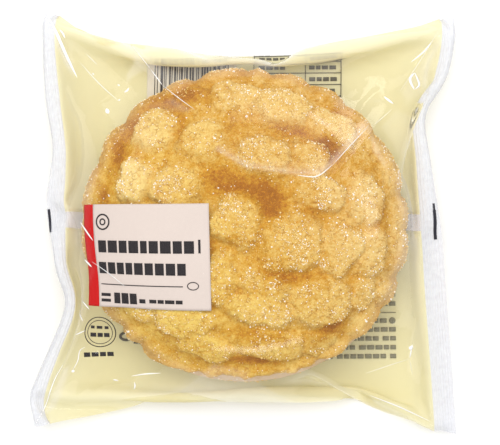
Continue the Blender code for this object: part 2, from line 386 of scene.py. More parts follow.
# How the film moves: per step, and in millimetres where it is a distance
MOTION_KEPT = 0.97
FASTEST = 1.0
AIR_PUSH = 0.008
WEIGHT_PULL = 0.01
RUB = 0.6
SHEAR_STIFFNESS = 0.5
BEND_STIFFNESS = 0.3
OUTLINE_HOLD = 0.5
INNER_EDGE_HOLD = 0.2
SEAL_HEIGHT_HOLD = 0.05
FOLD_HOLD = 0.05
FLOOR_LEVEL = 0.4
GROWING_SHARE = 0.6

# Within this share of the bun's plan, each sheet stays on its own side of the bun's widest level
CORE_SHARE = 0.93
SIDE_GAP = 0.5

# From coarse to fine: columns, rows, steps, rounds in each step, and how big the bun is at first
FILM_LEVELS = ((34, 34, 140, 8, 0.3), (67, 67, 70, 10, 1.0), (133, 133, 60, 12, 1.0))


def bag_size():
    """Film length, film height and seal width in millimetres."""
    bag = bpy.context.scene.bag_film
    return bag.film_length / MM, bag.film_height / MM, bag.seal_width / MM


def bun_size():
    """Half width, half depth, height and widest height of the bun in millimetres."""
    bun = bpy.context.scene.bun_crust
    return bun.width / MM / 2, bun.depth / MM / 2, bun.height / MM, bun.widest / MM


def seal_targets(side, shown, count, seal_width, inward):
    """Plan places of a seal's outer and inner edge."""
    outer = even_steps(side, count)
    share = np.interp(np.linspace(0, 1, count), np.linspace(0, 1, len(shown)), shown)
    along = unit(np.gradient(outer, axis=0))
    across = np.stack((along[:, 1], -along[:, 0]), axis=1) * inward
    kernel = np.hanning(max(3, count // 8))
    kernel /= kernel.sum()
    padded = np.pad(across, ((len(kernel), len(kernel)), (0, 0)), mode="edge")
    smooth = np.stack([np.convolve(padded[:, axis], kernel, "same") for axis in range(2)], axis=1)
    across = smooth[len(kernel):-len(kernel)]
    return outer, outer + across * (share * seal_width)[:, None]


def neighbours(count, start):
    """Slices of the first and the second of each pair of lines, with pairs from line 0 or line 1 on."""
    end = start + (count - start) // 2 * 2
    return np.s_[start:end - 1:2], np.s_[start + 1:end:2]


def pull_together(film, first, second, rest, stiffness):
    """Moves two sets of film points along the lines between them towards a resting distance."""
    near, far = film[first], film[second]
    gap = far - near
    length = np.sqrt((gap * gap).sum(-1, keepdims=True)) + 1e-9
    gap *= (length - rest) / length * (0.5 * stiffness)
    near += gap
    far -= gap


def straighten(film, axis, stiffness):
    """Resists bending: each point moves towards the middle of its two neighbours."""
    line = np.moveaxis(film, axis, 0)
    bend = (line[:-2] + line[2:]) * 0.5 - line[1:-1]
    line[1:-1] += bend * (0.5 * stiffness)
    line[:-2] -= bend * (0.25 * stiffness)
    line[2:] -= bend * (0.25 * stiffness)


def lie_on_bun(film, grown):
    """Keeps the film outside the growing bun and says which points it holds."""
    half_width, half_depth, height, widest = bun_size()
    centre = np.array((*BUN_CENTRE, widest))
    offset = film - centre
    plan = np.hypot(offset[..., 0] / (half_width + FILM_GAP), offset[..., 1] / (half_depth + FILM_GAP))
    plan /= grown
    core = plan < CORE_SHARE
    offset[0, ..., 2] = np.where(core[0], np.maximum(offset[0, ..., 2], SIDE_GAP), offset[0, ..., 2])
    offset[1, ..., 2] = np.where(core[1], np.minimum(offset[1, ..., 2], -SIDE_GAP), offset[1, ..., 2])
    above = offset[..., 2] > 0
    fullness = np.where(above, DOME_FULLNESS, FOOT_FULLNESS)
    reach = np.where(above, height + FILM_GAP - widest, widest - FILM_GAP) * grown
    depth = plan ** fullness + (np.abs(offset[..., 2]) / reach) ** fullness
    held = depth < 1
    push = np.where(held, np.maximum(depth, 1e-6) ** (-1 / fullness), 1.0)
    film[...] = centre + offset * push[..., None]
    return held


def close_bag(film, seal_columns):
    """Joins front and back film along the folds and through the seals."""
    borders = (np.s_[:, 0], np.s_[:, -1], np.s_[:, :, :seal_columns + 1], np.s_[:, :, -seal_columns - 1:])
    for border in borders:
        film[border] = film[border].mean(axis=0)


def settle(film, steps, rounds, grown_from, film_length, film_height, seal_width):
    """Lets the two sheets of film settle around the bun as it fills the bag."""
    rows, columns = film.shape[1:3]
    step_across, step_up = film_length / (columns - 1), film_height / (rows - 1)
    diagonal = math.hypot(step_across, step_up)
    seal_columns = round(seal_width / step_across)
    left, left_inner = seal_targets(LEFT_SEAL, LEFT_SEAL_SHOWN, rows, seal_width, 1)
    right, right_inner = seal_targets(RIGHT_SEAL, RIGHT_SEAL_SHOWN, rows, seal_width, -1)
    bottom, top = even_steps(BOTTOM_FOLD, columns), even_steps(TOP_FOLD, columns)
    across = np.linspace(0, 1, columns)[None, :]
    up = np.linspace(0, 1, rows)[:, None]
    droop = 1 - np.minimum(np.sin(np.pi * across) + np.sin(np.pi * up), 1.0)
    edge_height = SIDE_HEIGHT + (CORNER_HEIGHT - SIDE_HEIGHT) * droop
    holds = (
        (np.s_[:, :, 0, :2], left, OUTLINE_HOLD), (np.s_[:, :, -1, :2], right, OUTLINE_HOLD),
        (np.s_[:, :, seal_columns, :2], left_inner, INNER_EDGE_HOLD),
        (np.s_[:, :, -1 - seal_columns, :2], right_inner, INNER_EDGE_HOLD),
        (np.s_[:, :, 0, 2], edge_height[:, 0], SEAL_HEIGHT_HOLD),
        (np.s_[:, :, -1, 2], edge_height[:, -1], SEAL_HEIGHT_HOLD),
        (np.s_[:, 0, :, :2], bottom, FOLD_HOLD), (np.s_[:, -1, :, :2], top, FOLD_HOLD),
    )
    before = film.copy()
    for step in range(steps):
        grown = grown_from + (1 - grown_from) * min(1.0, (step + 1) / (GROWING_SHARE * steps))
        motion = (film - before) * MOTION_KEPT
        outward = np.cross(film[:, 1:-1, 2:] - film[:, 1:-1, :-2], film[:, 2:, 1:-1] - film[:, :-2, 1:-1])
        outward[1] *= -1
        motion[:, 1:-1, 1:-1] += AIR_PUSH * unit(outward, 1e-9)
        motion[..., 2] -= WEIGHT_PULL
        before = film.copy()
        film += np.clip(motion, -FASTEST, FASTEST)
        for _ in range(rounds):
            for start in (0, 1):
                first, second = neighbours(columns, start)
                pull_together(film, np.s_[:, :, first], np.s_[:, :, second], step_across, 1.0)
                first, second = neighbours(rows, start)
                pull_together(film, np.s_[:, first], np.s_[:, second], step_up, 1.0)
                pull_together(film, np.s_[:, first, :-1], np.s_[:, second, 1:], diagonal, SHEAR_STIFFNESS)
                pull_together(film, np.s_[:, first, 1:], np.s_[:, second, :-1], diagonal, SHEAR_STIFFNESS)
            straighten(film, 1, BEND_STIFFNESS)
            straighten(film, 2, BEND_STIFFNESS)
            close_bag(film, seal_columns)
            for place, target, hold in holds:
                film[place] += (target - film[place]) * hold
            held = lie_on_bun(film, grown)
            film[..., 2] = np.maximum(film[..., 2], FLOOR_LEVEL)
            crossed = np.minimum(film[0, ..., 2] - film[1, ..., 2], 0) / 2
            film[0, ..., 2] -= crossed
            film[1, ..., 2] += crossed
        rubbed = held | (film[..., 2] <= FLOOR_LEVEL + 0.01)
        before = np.where(rubbed[..., None], before + (film - before) * RUB, before)
    return film


@functools.lru_cache(maxsize=1)
def film_sheets():
    """Front and back film as two grids of points, rows from bottom to top, columns left to right."""
    film_length, film_height, seal_width = bag_size()
    levels = FILM_LEVELS
    columns, rows = levels[0][:2]
    across = np.linspace(0, 1, columns)[None, :, None]
    up = np.linspace(0, 1, rows)[:, None, None]
    left, right = even_steps(LEFT_SEAL, rows)[:, None], even_steps(RIGHT_SEAL, rows)[:, None]
    bottom, top = even_steps(BOTTOM_FOLD, columns)[None], even_steps(TOP_FOLD, columns)[None]
    corners = ((1 - across) * ((1 - up) * left[0] + up * left[-1])
               + across * ((1 - up) * right[0] + up * right[-1]))
    film = np.zeros((2, rows, columns, 3))
    film[..., :2] = (1 - across) * left + across * right + (1 - up) * bottom + up * top - corners
    swell = 4 * (np.sin(np.pi * across) * np.sin(np.pi * up))[..., 0]
    film[0, ..., 2] = SIDE_HEIGHT + swell
    film[1, ..., 2] = SIDE_HEIGHT - swell / 2
    for columns, rows, steps, rounds, grown_from in levels:
        row = np.linspace(0, film.shape[1] - 1, rows)[:, None]
        column = np.linspace(0, film.shape[2] - 1, columns)[None, :]
        film = np.stack([sample_grid(sheet, row, column) for sheet in film])
        film = settle(film, steps, rounds, grown_from, film_length, film_height, seal_width)
    return film


def plan_shift():
    """Moves the outline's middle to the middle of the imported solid's box."""
    outline = np.vstack([smooth_side(side, np.linspace(0, 1, 400))
                         for side in (LEFT_SEAL, RIGHT_SEAL, BOTTOM_FOLD, TOP_FOLD)])
    low, high = (np.array(corner[:2]) / MM for corner in BAG_BOX)
    middle = (low + high) / 2 - (outline.min(axis=0) + outline.max(axis=0)) / 2
    return np.array((*middle, 0.0))


@functools.lru_cache(maxsize=1)
def small_folds():
    """Short ridges scattered in the loose film around the bun, most of them pointing away from it."""
    draw = random.Random(23)
    half_width, half_depth, _, _ = bun_size()
    folds = []
    while len(folds) < FOLD_COUNT:
        x, y = draw.uniform(-74, 76), draw.uniform(-76, 76)
        if math.hypot(x / half_width, y / half_depth) < 1.0:
            continue
        turn = math.atan2(y, x) + draw.gauss(0, 0.45)
        half = draw.uniform(3, 13)
        step = (half * math.cos(turn), half * math.sin(turn))
        bow = draw.uniform(-0.15, 0.15) * half
        middle = (x - bow * math.sin(turn), y + bow * math.cos(turn))
        line = [(x - step[0], y - step[1]), middle, (x + step[0], y + step[1])]
        folds.append((line, draw.uniform(0.3, 0.9), draw.uniform(1.0, 3.2)))
    return folds


def crease_height(plan):
    """How far the creases raise the front film at plan places."""
    total = np.zeros(plan.shape[:-1])
    for line, height, half_width in (*CREASES, *small_folds()):
        nearest, along = along_line(plan, line)
        taper = np.clip(np.sin(np.pi * np.clip(along, 0.02, 0.98)), 0, 1) ** 0.6
        total = np.maximum(total, height * taper * np.exp(-nearest / half_width))
    return total


def along_line(plan, line):
    """Distance from plan places to a broken line, and how far along it they lie, from 0 to 1."""
    line = np.array(line)
    lengths = np.linalg.norm(np.diff(line, axis=0), axis=1)
    starts = np.concatenate(((0,), np.cumsum(lengths)))
    nearest = np.full(plan.shape[:-1], np.inf)
    along = np.zeros(plan.shape[:-1])
    for start, end, run, length in zip(line, line[1:], starts, lengths):
        part = np.clip(((plan - start) @ (end - start)) / length ** 2, 0, 1)
        distance = np.linalg.norm(plan - start - part[..., None] * (end - start), axis=-1)
        along = np.where(distance < nearest, (run + part * length) / starts[-1], along)
        nearest = np.minimum(nearest, distance)
    return nearest, along


def painted_veil_strength(plan):
    """How strong the painted reflection veils on the front film are at plan places."""
    total = np.zeros(plan.shape[:-1])
    x, y = plan[..., 0], plan[..., 1]
    for outline, bright_edge, inside_strength, edge_strength in PAINTED_VEIL_PATCHES:
        inside = np.zeros(plan.shape[:-1], dtype=bool)
        for (x0, y0), (x1, y1) in zip(outline, outline[1:] + outline[:1]):
            crosses = (y0 > y) != (y1 > y)
            inside ^= crosses & (x < x0 + (y - y0) * (x1 - x0) / (y1 - y0 if y1 != y0 else 1.0))
        border, _ = along_line(plan, [*outline, outline[0]])
        edge, _ = along_line(plan, bright_edge)
        soft = smooth_step(0, VEIL_SOFT_EDGE, border)
        strength = inside_strength + (edge_strength - inside_strength) * np.exp(-(edge / VEIL_EDGE_REACH) ** 2)
        total = np.maximum(total, inside * soft * strength)
    return total


# How the search for a place on the film goes
PLACE_ROUNDS = 12
SMALLEST_AREA = 0.2
CAREFUL_SHARE = 0.7
LONGEST_MOVE = 6.0


def film_place(plan):
    """Distances along the flat front film that bring it over plan places."""
    film_length, film_height, _ = bag_size()
    place = np.asarray(plan, float) + (film_length / 2, film_height / 2)
    step = 1.0
    for _ in range(PLACE_ROUNDS):
        here = film_points(0, place[..., 0], place[..., 1])[..., :2]
        along = (film_points(0, place[..., 0] + step, place[..., 1])[..., :2] - here) / step
        climb = (film_points(0, place[..., 0], place[..., 1] + step)[..., :2] - here) / step
        wanted = plan - here
        area = along[..., 0] * climb[..., 1] - along[..., 1] * climb[..., 0]
        area = np.where(np.abs(area) < SMALLEST_AREA, SMALLEST_AREA, area)
        move = np.stack(((wanted[..., 0] * climb[..., 1] - wanted[..., 1] * climb[..., 0]) / area,
                         (wanted[..., 1] * along[..., 0] - wanted[..., 0] * along[..., 1]) / area), axis=-1)
        place = place + np.clip(CAREFUL_SHARE * move, -LONGEST_MOVE, LONGEST_MOVE)
    return place


def film_points(sheet, across, up, lift=0.0):
    """Places on the front (0) or back (1) film, at distances along the flat film from its lower left corner.

    A positive lift goes outward, off the outside of the bag.
    """
    film_length, film_height, _ = bag_size()
    film = film_sheets()[sheet]
    rows, columns = film.shape[:2]
    per_column, per_row = (columns - 1) / film_length, (rows - 1) / film_height

    def at(across, up):
        row, column = np.clip(up, 0, film_height) * per_row, np.clip(across, 0, film_length) * per_column
        return sample_grid(film, row, column)

    across, up = np.broadcast_arrays(np.asarray(across, float), np.asarray(up, float))
    places = at(across, up)
    if sheet == 0:
        places[..., 2] += crease_height(places[..., :2])
    if np.any(lift):
        reach = 0.5
        along = at(across + reach, up) - at(across - reach, up)
        climb = at(across, up + reach) - at(across, up - reach)
        outward = np.cross(along, climb) * (1 if sheet == 0 else -1)
        places = places + unit(outward, 1e-9) * np.broadcast_to(lift, across.shape)[..., None]
    return places


# ---------------------------------------------------------------- meshes

def quads(number):
    """Quads between the neighbours of a grid of point numbers."""
    corners = (number[:-1, :-1], number[:-1, 1:], number[1:, 1:], number[1:, :-1])
    return np.stack(corners, axis=-1).reshape(-1, 4)


def grid_faces(rows, columns, first=0, flipped=False, wrapped=False):
    """Quads of a grid whose points are numbered row by row; wrapped joins its last column to its first."""
    number = first + np.arange(rows * columns).reshape(rows, columns)
    if wrapped:
        number = np.hstack((number, number[:, :1]))
    return quads(number)[:, ::-1] if flipped else quads(number)


def mesh_piece(name, points, faces, materials, face_materials=None, plan_uv=None, smooth=True):
    """A new object from points in millimetres, riding on the pack."""
    mesh = bpy.data.meshes.new(name)
    places = (np.asarray(points) + plan_shift()) * MM
    mesh.from_pydata(places.tolist(), [], [list(map(int, face)) for face in faces])
    for material in materials:
        mesh.materials.append(material)
    if face_materials is not None:
        mesh.polygons.foreach_set("material_index", np.asarray(face_materials, dtype=np.int32))
    if plan_uv is not None:
        corners = np.empty(len(mesh.loops), dtype=np.int32)
        mesh.loops.foreach_get("vertex_index", corners)
        layer = mesh.uv_layers.new(name="film")
        layer.data.foreach_set("uv", np.asarray(plan_uv, dtype=np.float32)[corners].ravel())
    if smooth:
        mesh.shade_smooth()
    mesh.validate()
    piece = bpy.data.objects.new(name, mesh)
    bpy.context.scene.collection.objects.link(piece)
    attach(piece, "root")
    return piece


def vertex_values(piece, name, values):
    """Stores one number for each vertex, for the materials to read."""
    layer = piece.data.attributes.new(name, "FLOAT", "POINT")
    layer.data.foreach_set("value", np.asarray(values, dtype=np.float32))


# ---------------------------------------------------------------- shader helpers

def feed(tree, socket, value):
    """Links a socket to an input, or sets its value; three numbers for a colour are made opaque."""
    if isinstance(value, bpy.types.NodeSocket):
        tree.links.new(value, socket)
    elif socket.type == "RGBA" and len(value) == 3:
        socket.default_value = (*value, 1.0)
    else:
        socket.default_value = value


def node(tree, kind, inputs=None, **settings):
    """Adds a node, sets its settings and its inputs: a value, or a socket to link."""
    made = tree.nodes.new(kind)
    for name, value in settings.items():
        setattr(made, name, value)
    for name, value in (inputs or {}).items():
        feed(tree, made.inputs[name], value)
    return made


def ramp(tree, factor, stops):
    """A colour ramp through (place, colour) stops."""
    made = node(tree, "ShaderNodeValToRGB", {"Fac": factor})
    elements = made.color_ramp.elements
    while len(elements) < len(stops):
        elements.new(0.5)
    for element, (place, colour) in zip(elements, stops):
        element.position = place
        element.color = (*colour, 1.0)
    return made.outputs["Color"]


def mix_colour(tree, factor, first, second, blend="MIX"):
    """Mixes two colours, each a socket or three numbers."""
    made = node(tree, "ShaderNodeMix", {0: factor, 6: first, 7: second}, data_type="RGBA", blend_type=blend)
    return made.outputs[2]


def calc(tree, operation, *values, clamp=False):
    """One step of arithmetic on sockets or numbers."""
    made = node(tree, "ShaderNodeMath", dict(enumerate(values)), operation=operation, use_clamp=clamp)
    return made.outputs[0]


def spread(tree, value, low, high, new_low=0.0, new_high=1.0):
    """A value from low to high spread over a new range, and held at its ends."""
    return node(tree, "ShaderNodeMapRange", {"Value": value, "From Min": low, "From Max": high,
                                             "To Min": new_low, "To Max": new_high}).outputs["Result"]


def object_place(tree):
    """Where each point of the object lies, in metres."""
    return node(tree, "ShaderNodeTexCoord").outputs["Object"]


def mixed(tree, share, first, second):
    """One surface mixed into another by a share."""
    return node(tree, "ShaderNodeMixShader", {"Fac": share, 1: first, 2: second}).outputs[0]


def noise(tree, where, scale, detail=2.0, roughness=0.5):
    """A noise texture's value at a place."""
    return node(tree, "ShaderNodeTexNoise", {"Vector": where, "Scale": scale, "Detail": detail,
                                             "Roughness": roughness}).outputs["Fac"]


def attribute(tree, name):
    """A number stored on the mesh."""
    return node(tree, "ShaderNodeAttribute", attribute_name=name).outputs["Fac"]


def empty_material(name):
    """A new material with only its output node: the material, its tree and the output's surface."""
    material = bpy.data.materials.new(name)
    material.use_nodes = True
    material.node_tree.nodes.clear()
    output = material.node_tree.nodes.new("ShaderNodeOutputMaterial")
    return material, material.node_tree, output.inputs["Surface"]


def principled(tree, colour, roughness, **inputs):
    """A Principled surface; other inputs have their names with underscores."""
    values = {name.replace("_", " "): value for name, value in inputs.items()}
    values |= {"Base Color": colour, "Roughness": roughness}
    return node(tree, "ShaderNodeBsdfPrincipled", values).outputs[0]


def effect_group(name, inputs, outputs):
    """A new shader node group with named inputs (name, kind, default) and outputs (name, kind)."""
    group = bpy.data.node_groups.new(name, "ShaderNodeTree")
    for socket_name, kind, default in inputs:
        socket = group.interface.new_socket(socket_name, in_out="INPUT", socket_type=kind)
        socket.default_value = default
    for socket_name, kind in outputs:
        group.interface.new_socket(socket_name, in_out="OUTPUT", socket_type=kind)
    return group, group.nodes.new("NodeGroupInput"), group.nodes.new("NodeGroupOutput")


def placed(tree, group, **inputs):
    """Places an effect group in a material with that material's own values."""
    made = node(tree, "ShaderNodeGroup", node_tree=group)
    for name, value in inputs.items():
        made.inputs[name.replace("_", " ")].default_value = value
    return made


# Texture scales, in features across a metre
DULL_PATCHES = 90.0
INK_CLOUDS = 60.0


@functools.lru_cache(maxsize=1)
def film_ripple():
    """Fine stretch marks and dulled patches of thin film."""
    group, given, result = effect_group(
        "film ripple",
        (("Ripple size", "NodeSocketFloat", 400.0), ("Ripple depth", "NodeSocketFloat", 0.05),
         ("Roughness", "NodeSocketFloat", 0.1), ("Roughness spread", "NodeSocketFloat", 0.05)),
        (("Normal", "NodeSocketVector"), ("Roughness", "NodeSocketFloat")))
    where = object_place(group)
    ripple = noise(group, where, given.outputs["Ripple size"], 3.0)
    bump = node(group, "ShaderNodeBump", {"Strength": given.outputs["Ripple depth"], "Distance": 0.001,
                                          "Height": ripple})
    patches = calc(group, "SUBTRACT", noise(group, where, DULL_PATCHES, 2.0), 0.5)
    duller = calc(group, "MULTIPLY", patches, given.outputs["Roughness spread"])
    group.links.new(bump.outputs["Normal"], result.inputs["Normal"])
    roughness = calc(group, "ADD", given.outputs["Roughness"], duller, clamp=True)
    group.links.new(roughness, result.inputs["Roughness"])
    return group


@functools.lru_cache(maxsize=1)
def ink_mottle():
    """The slight unevenness of ink printed on film."""
    group, given, result = effect_group(
        "ink mottle",
        (("Ink", "NodeSocketColor", (0.5, 0.5, 0.5, 1.0)), ("Unevenness", "NodeSocketFloat", 0.06),
         ("Grain size", "NodeSocketFloat", 900.0)),
        (("Color", "NodeSocketColor"), ("Roughness", "NodeSocketFloat")))
    where = object_place(group)
    grain = noise(group, where, given.outputs["Grain size"], 2.0)
    cloud = noise(group, where, INK_CLOUDS, 2.0)
    both = calc(group, "SUBTRACT", calc(group, "ADD", grain, cloud), 1.0)
    level = calc(group, "ADD", 1.0, calc(group, "MULTIPLY", both, given.outputs["Unevenness"]))
    shade = node(group, "ShaderNodeCombineColor", {"Red": level, "Green": level, "Blue": level})
    ink = mix_colour(group, 1.0, given.outputs["Ink"], shade.outputs["Color"], "MULTIPLY")
    group.links.new(ink, result.inputs["Color"])
    group.links.new(calc(group, "ADD", 0.3, calc(group, "MULTIPLY", grain, 0.2)), result.inputs["Roughness"])
    return group


# ---------------------------------------------------------------- film materials

WHITE = (1, 1, 1, 1)
FILM_INDEX = 1.5
FILM_HAZE = 0.005
# Colour of the film's faint haze and of its painted reflection veils
HAZE_AND_VEIL_COLOUR = (1.0, 0.95, 0.88)
MATT_LABEL = 0.75
FIN_SOLIDITY = 0.3
SEAL_SOLIDITY = (0.30, 0.24)
BACK_SOLIDITY = (0.25, 0.30)


def rippled(tree, size, depth, roughness, roughness_spread=0.1):
    """Normal and roughness of thin film."""
    ripple = placed(tree, film_ripple(), Ripple_size=size, Ripple_depth=depth, Roughness=roughness,
                    Roughness_spread=roughness_spread)
    return ripple.outputs["Normal"], ripple.outputs["Roughness"]


def transparent(tree, tint=WHITE):
    """A surface that lets light through, with a tint."""
    return node(tree, "ShaderNodeBsdfTransparent", {"Color": tint}).outputs[0]


def clear_film_material():
    """Clear film: what lies behind shows through, under gloss from its two faces, a faint haze and painted
    reflection veils.
    """
    material, tree, surface = empty_material("clear_film")
    normal, roughness = rippled(tree, 260.0, 0.05, 0.09, 0.06)
    gloss = node(tree, "ShaderNodeBsdfGlossy", {"Color": WHITE, "Roughness": roughness, "Normal": normal})
    clear = transparent(tree)
    haze_and_veil = node(tree, "ShaderNodeBsdfDiffuse", {"Color": HAZE_AND_VEIL_COLOUR})
    facing = node(tree, "ShaderNodeFresnel", {"IOR": FILM_INDEX, "Normal": normal})
    unvarnished = calc(tree, "SUBTRACT", 1.0, calc(tree, "MULTIPLY", attribute(tree, "matt"), MATT_LABEL))
    gloss_share = calc(tree, "MULTIPLY", facing.outputs["Fac"], unvarnished, clamp=True)
    # The stored share adds painted reflection veils to the film's own faint haze
    haze_and_veil_share = calc(tree, "ADD", attribute(tree, "milk_and_sheen"), FILM_HAZE)
    film = mixed(tree, gloss_share, mixed(tree, haze_and_veil_share, clear, haze_and_veil.outputs[0]), gloss.outputs[0])
    rays = node(tree, "ShaderNodeLightPath")
    for kind in ("Is Shadow Ray", "Is Diffuse Ray"):
        film = mixed(tree, rays.outputs[kind], film, clear)
    tree.links.new(film, surface)
    return material


def milky_material(name, colour, size, depth, roughness, solidity):
    """Film that is part clear and part milk-white: real cloudiness in the seals and the fin, a painted
    highlight in the crease glints; its solidity comes from a function of the tree.
    """
    material, tree, surface = empty_material(name)
    normal, rough = rippled(tree, size, depth, roughness)
    milk_and_sheen = principled(tree, colour, rough, Normal=normal)
    tree.links.new(mixed(tree, solidity(tree), transparent(tree), milk_and_sheen), surface)
    return material


def seal_solidity(tree):
    """How milk-white a crimped seal is, which varies along it in small clouds."""
    low, more = SEAL_SOLIDITY
    return calc(tree, "ADD", low, calc(tree, "MULTIPLY", noise(tree, object_place(tree), 420.0), more))


def seal_material():
    """Crimped seal: two layers of film pressed together, a little milk-white, with bright ridges."""
    return milky_material("crimped_seal", (0.80, 0.81, 0.865), 600.0, 0.15, 0.22, seal_solidity)


def fin_material():
    """Unprinted fin seam: two layers of film folded flat."""
    return milky_material("fin_film", (0.95, 0.92, 0.95), 500.0, 0.1, 0.3, lambda tree: FIN_SOLIDITY)


def crease_glint_material():
    """A sharp crease painted white as a highlight of the film."""
    return milky_material("painted_crease_glint", (1.0, 0.99, 0.97), 700.0, 0.1, 0.2,
                          lambda tree: attribute(tree, "milk_and_sheen"))


def back_film_material():
    """Back film with its pale yellow print, left clear in a band over the fin seam."""
    bag = bpy.context.scene.bag_film
    material, tree, surface = empty_material("printed_back_film")
    normal, roughness = rippled(tree, 300.0, 0.04, 0.3)
    share = node(tree, "ShaderNodeUVMap", uv_map="film").outputs["UV"]
    up = node(tree, "ShaderNodeSeparateXYZ", {"Vector": share}).outputs["Y"]
    off_band = calc(tree, "ABSOLUTE", calc(tree, "SUBTRACT", up, BAND_MIDDLE))
    printed = calc(tree, "GREATER_THAN", off_band, BAND_HALF)
    ink = placed(tree, ink_mottle(), Ink=(*bag.back_colour, 1.0), Unevenness=0.05, Grain_size=500.0)
    bare = placed(tree, ink_mottle(), Ink=(*bag.band_colour, 1.0), Unevenness=0.06, Grain_size=300.0)
    colour = mix_colour(tree, printed, bare.outputs["Color"], ink.outputs["Color"])
    tint = mix_colour(tree, printed, (0.97, 0.97, 0.98), (0.98, 0.94, 0.66))
    bare_solidity, more = BACK_SOLIDITY
    solidity = calc(tree, "ADD", bare_solidity, calc(tree, "MULTIPLY", printed, more))
    inked = principled(tree, colour, roughness, Normal=normal)
    tree.links.new(mixed(tree, solidity, transparent(tree, tint), inked), surface)
    return material


def ink_material(name, colour):
    """Flat printed ink."""
    material, tree, surface = empty_material(name)
    ink = placed(tree, ink_mottle(), Ink=(*colour, 1.0), Unevenness=0.06)
    printed = principled(tree, ink.outputs["Color"], ink.outputs["Roughness"], Specular_IOR_Level=0.1)
    tree.links.new(printed, surface)
    return material


# ---------------------------------------------------------------- film pieces

# The unprinted band over the fin seam, as shares of the film's height
BAND_MIDDLE = 0.505
BAND_HALF = 0.020

# Mesh steps across the seals and in the pouch
SEAL_STEP = 0.24
POUCH_STEP = 0.85

# A seal: half its thickness, its ridges, and how far from its edges they begin and end
SEAL_FILM_HALF = 0.14
CRIMP_HEIGHT = 0.10
CRIMP_START = 0.3
CRIMP_END = 0.9
SHARP_ANGLE = math.radians(70)

# The fin seam, and the height and pitch of its own crimp
FIN_WIDTH = 9.0
FIN_THICKNESS = 0.12
FIN_CRIMP = (0.02, 1.5)
FIN_ROWS = 19
FIN_LIFT = 0.10
FIN_END_GAP = 0.2
RING_POINTS = 40


class PACK_OT_film(bpy.types.Operator):
    """Clear front film, printed back film and the two crimped seals, as one closed bag"""
    bl_idname = "melon_pan.film"
    bl_label = "Film and seals"

    def execute(self, context):
        film_length, film_height, seal_width = bag_size()
        pitch = context.scene.bag_film.crimp_pitch / MM
        seal_columns = round(seal_width / SEAL_STEP)
        pouch = film_length - 2 * seal_width
        across = np.concatenate((
            np.linspace(0, seal_width, seal_columns + 1)[:-1],
            np.linspace(seal_width, film_length - seal_width, round(pouch / POUCH_STEP) + 1)[:-1],
            np.linspace(film_length - seal_width, film_length, seal_columns + 1),
        ))
        up = np.linspace(0, film_height, round(film_height / POUCH_STEP) + 1)
        rows, columns = len(up), len(across)
        across, up = np.meshgrid(across, up)
        from_edge = np.minimum(across, film_length - across)
        pressed = np.clip((seal_width - from_edge) / CRIMP_START, 0, 1) * np.clip(from_edge / CRIMP_END, 0, 1)
        ridge = CRIMP_HEIGHT * np.sin(2 * np.pi * from_edge / pitch)
        front = film_points(0, across, up, pressed * (SEAL_FILM_HALF + ridge))
        back = film_points(1, across, up, pressed * (SEAL_FILM_HALF - ridge))

        number = np.arange(rows * columns).reshape(rows, columns)
        back_number = number + rows * columns
        edge = np.zeros((rows, columns), dtype=bool)
        edge[0] = edge[-1] = True
        edge[:, 0] = edge[:, -1] = True
        back_number = np.where(edge, number, back_number)
        used = np.unique(np.concatenate((number.ravel(), back_number.ravel())))
        renumber = np.zeros(2 * rows * columns, dtype=int)
        renumber[used] = np.arange(len(used))
        points = np.vstack((front.reshape(-1, 3), back.reshape(-1, 3)))[used]
        shares = np.stack((across / film_length, up / film_height), axis=-1).reshape(-1, 2)
        plan_uv = np.vstack((shares, shares))[used]
        faces = np.vstack((quads(number), quads(back_number)[:, ::-1]))
        in_seal = ((from_edge[:-1, :-1] + from_edge[1:, 1:]) / 2 < seal_width).ravel()
        face_materials = np.concatenate((np.where(in_seal, 2, 0), np.where(in_seal, 2, 1)))
        materials = (clear_film_material(), back_film_material(), seal_material())
        bag = mesh_piece("bag_film", points, renumber[faces], materials, face_materials, plan_uv)
        bag.data.set_sharp_from_angle(angle=SHARP_ANGLE)
        # The front film's painted reflection veils and the label's matt cover, stored for the materials
        for name, value in (("milk_and_sheen", painted_veil_strength(front[..., :2])), ("matt", label_cover(across, up))):
            vertex_values(bag, name, np.concatenate((value.ravel(), np.zeros(rows * columns)))[used])
        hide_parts("bun_bag")
        return {"FINISHED"}


def film_slab(sheet, across, up, low, high, wrapped=False):
    """Points and faces of a thin closed slab that follows the film, between two lifts off it."""
    rows, columns = across.shape
    upper = film_points(sheet, across, up, high).reshape(-1, 3)
    lower = film_points(sheet, across, up, low).reshape(-1, 3)
    outside = sheet == 1
    top = grid_faces(rows, columns, 0, outside, wrapped)
    bottom = grid_faces(rows, columns, rows * columns, not outside, wrapped)
    number = np.arange(rows * columns).reshape(rows, columns)
    if wrapped:
        loops = [np.append(number[0], number[0, 0]), np.append(number[-1], number[-1, 0])[::-1]]
    else:
        loops = [np.concatenate((number[0], number[1:, -1], number[-1, -2::-1], number[-2::-1, 0]))]
    sides = []
    for loop in loops:
        rim = np.stack((loop[1:], loop[:-1], loop[:-1] + rows * columns, loop[1:] + rows * columns), axis=-1)
        sides.append(rim[:, ::-1] if outside else rim)
    return np.vstack((upper, lower)), np.vstack((top, bottom, *sides))


def joined(slabs):
    """Several slabs as one set of points and faces."""
    points, faces, count = [], [], 0
    for slab_points, slab_faces in slabs:
        points.append(slab_points)
        faces.append(slab_faces + count)
        count += len(slab_points)
    return np.vstack(points), np.vstack(faces)


def bar(across, up, width, height, step=1.0):
    """Film places of an upright rectangle from its lower left corner, and that it isn't a ring."""
    columns = max(2, math.ceil(width / step) + 1)
    rows = max(2, math.ceil(height / step) + 1)
    places = np.meshgrid(np.linspace(across, across + width, columns), np.linspace(up, up + height, rows))
    return (*places, False)


def ring(across, up, radius_across, radius_up, line):
    """Film places of an oval outline, and that it is a ring."""
    turn = np.linspace(0, 2 * np.pi, RING_POINTS, endpoint=False)
    reach = np.array(((radius_across, radius_up), (radius_across - line, radius_up - line)))
    return across + reach[:, :1] * np.cos(turn), up + reach[:, 1:] * np.sin(turn), True


